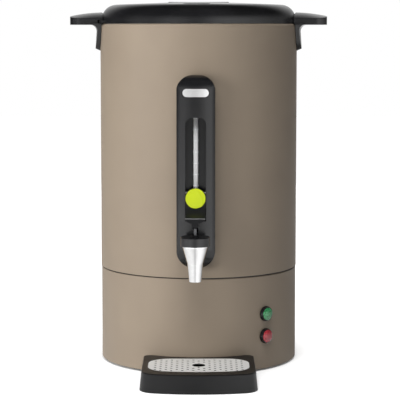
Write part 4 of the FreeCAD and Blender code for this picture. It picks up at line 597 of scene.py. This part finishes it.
# Paper under the urn, lit up to white for the camera and a little darker where the urn shades it.
# Glossy faces mirror the near levels by azimuth close to the urn, and beyond the reach the far
# ones times the strength, where the panels go on. Metres
paper = {
    "grey": 0.8,
    "halfSize": 6,
    "pointsAcross": 3,
    "drop": 0.0004,
    "cameraGlow": 1.0,
    "shadowReach": 0.10,
    "shadowSamples": 8,
    "reach": (0.6, 1.0),
    "near": [(-180, 0.0), (-100, 0.25), (-50, 0.42), (-25, 0.48), (-10, 0.34), (0, 0.0),
             (10, 0.48), (25, 0.73), (50, 0.60), (100, 0.0), (180, 0.0)],
    "strength": 1.6,
    "far": [(-180, 0.59), (-140, 0.08), (-100, 0.04), (-75, 0.32), (-55, 0.22), (-38, 0.54),
            (-22, 0.63), (-7, 0.27), (7, 0.38), (22, 0.92), (38, 0.96), (55, 0.82), (75, 0.59),
            (100, 0.28), (140, 0.08), (180, 0.59)],
}


def paperMaterial():
    material = bpy.data.materials.new("paperWhiteMatt")
    material.use_nodes = True
    tree = material.node_tree
    tree.nodes.clear()
    path = addNode(tree, "LightPath").outputs
    direct = addNode(tree, "Math", {"operation": "MULTIPLY"}, {
        0: path["Is Camera Ray"], 1: paper["cameraGlow"]})
    place = addNode(tree, "TexCoord").outputs["Object"]
    axes = addNode(tree, "SeparateXYZ", links={"Vector": place}).outputs
    radius = addNode(tree, "VectorMath", {"operation": "LENGTH"}, {0: place})
    beyond = addNode(tree, "MapRange", links={
        "Value": radius.outputs["Value"], "From Min": paper["reach"][0],
        "From Max": paper["reach"][1]})
    far = addNode(tree, "Math", {"operation": "MULTIPLY"}, {
        0: greyRound(tree, axes, paper["far"]), 1: paper["strength"]})
    mirror = addNode(tree, "Mix", links={
        "Factor": beyond.outputs["Result"], "A": greyRound(tree, axes, paper["near"]),
        "B": far.outputs["Value"]})
    mirrored = addNode(tree, "Math", {"operation": "MULTIPLY"}, {
        0: path["Is Glossy Ray"], 1: mirror.outputs["Result"]})
    seen = addNode(tree, "Math", {"operation": "MAXIMUM"}, {
        0: direct.outputs["Value"], 1: mirrored.outputs["Value"]})
    # Near the urn less of the sky reaches the paper, so its glow falls off there too
    openSky = addNode(tree, "AmbientOcclusion", {"samples": paper["shadowSamples"]}, {
        "Distance": paper["shadowReach"]})
    level = addNode(tree, "Math", {"operation": "MULTIPLY"}, {
        0: seen.outputs["Value"], 1: openSky.outputs["AO"]})
    sheet = addNode(tree, "BsdfDiffuse", links={"Color": (paper["grey"],) * 3 + (1,)})
    glow = addNode(tree, "Emission", links={"Color": white, "Strength": level.outputs["Value"]})
    both = addNode(tree, "AddShader", links={
        0: sheet.outputs["BSDF"], 1: glow.outputs["Emission"]})
    addNode(tree, "OutputMaterial", links={"Surface": both.outputs["Shader"]})
    return material


def makeFloor():
    # A flat sheet a hair below the feet: z is minus the drop at every x and y
    edge = np.linspace(-paper["halfSize"], paper["halfSize"], paper["pointsAcross"])
    x, y = np.meshgrid(edge, edge, indexing="ij")
    points = np.stack([x, y, np.full_like(x, -paper["drop"])], -1)
    floor = surfaceFrom("floor", points, paperMaterial())


for name, setting in lights.items():
    addLight(name, setting)
makeWorld()
makeFloor()
scene.view_settings.view_transform = "Standard"
print("studio lit")
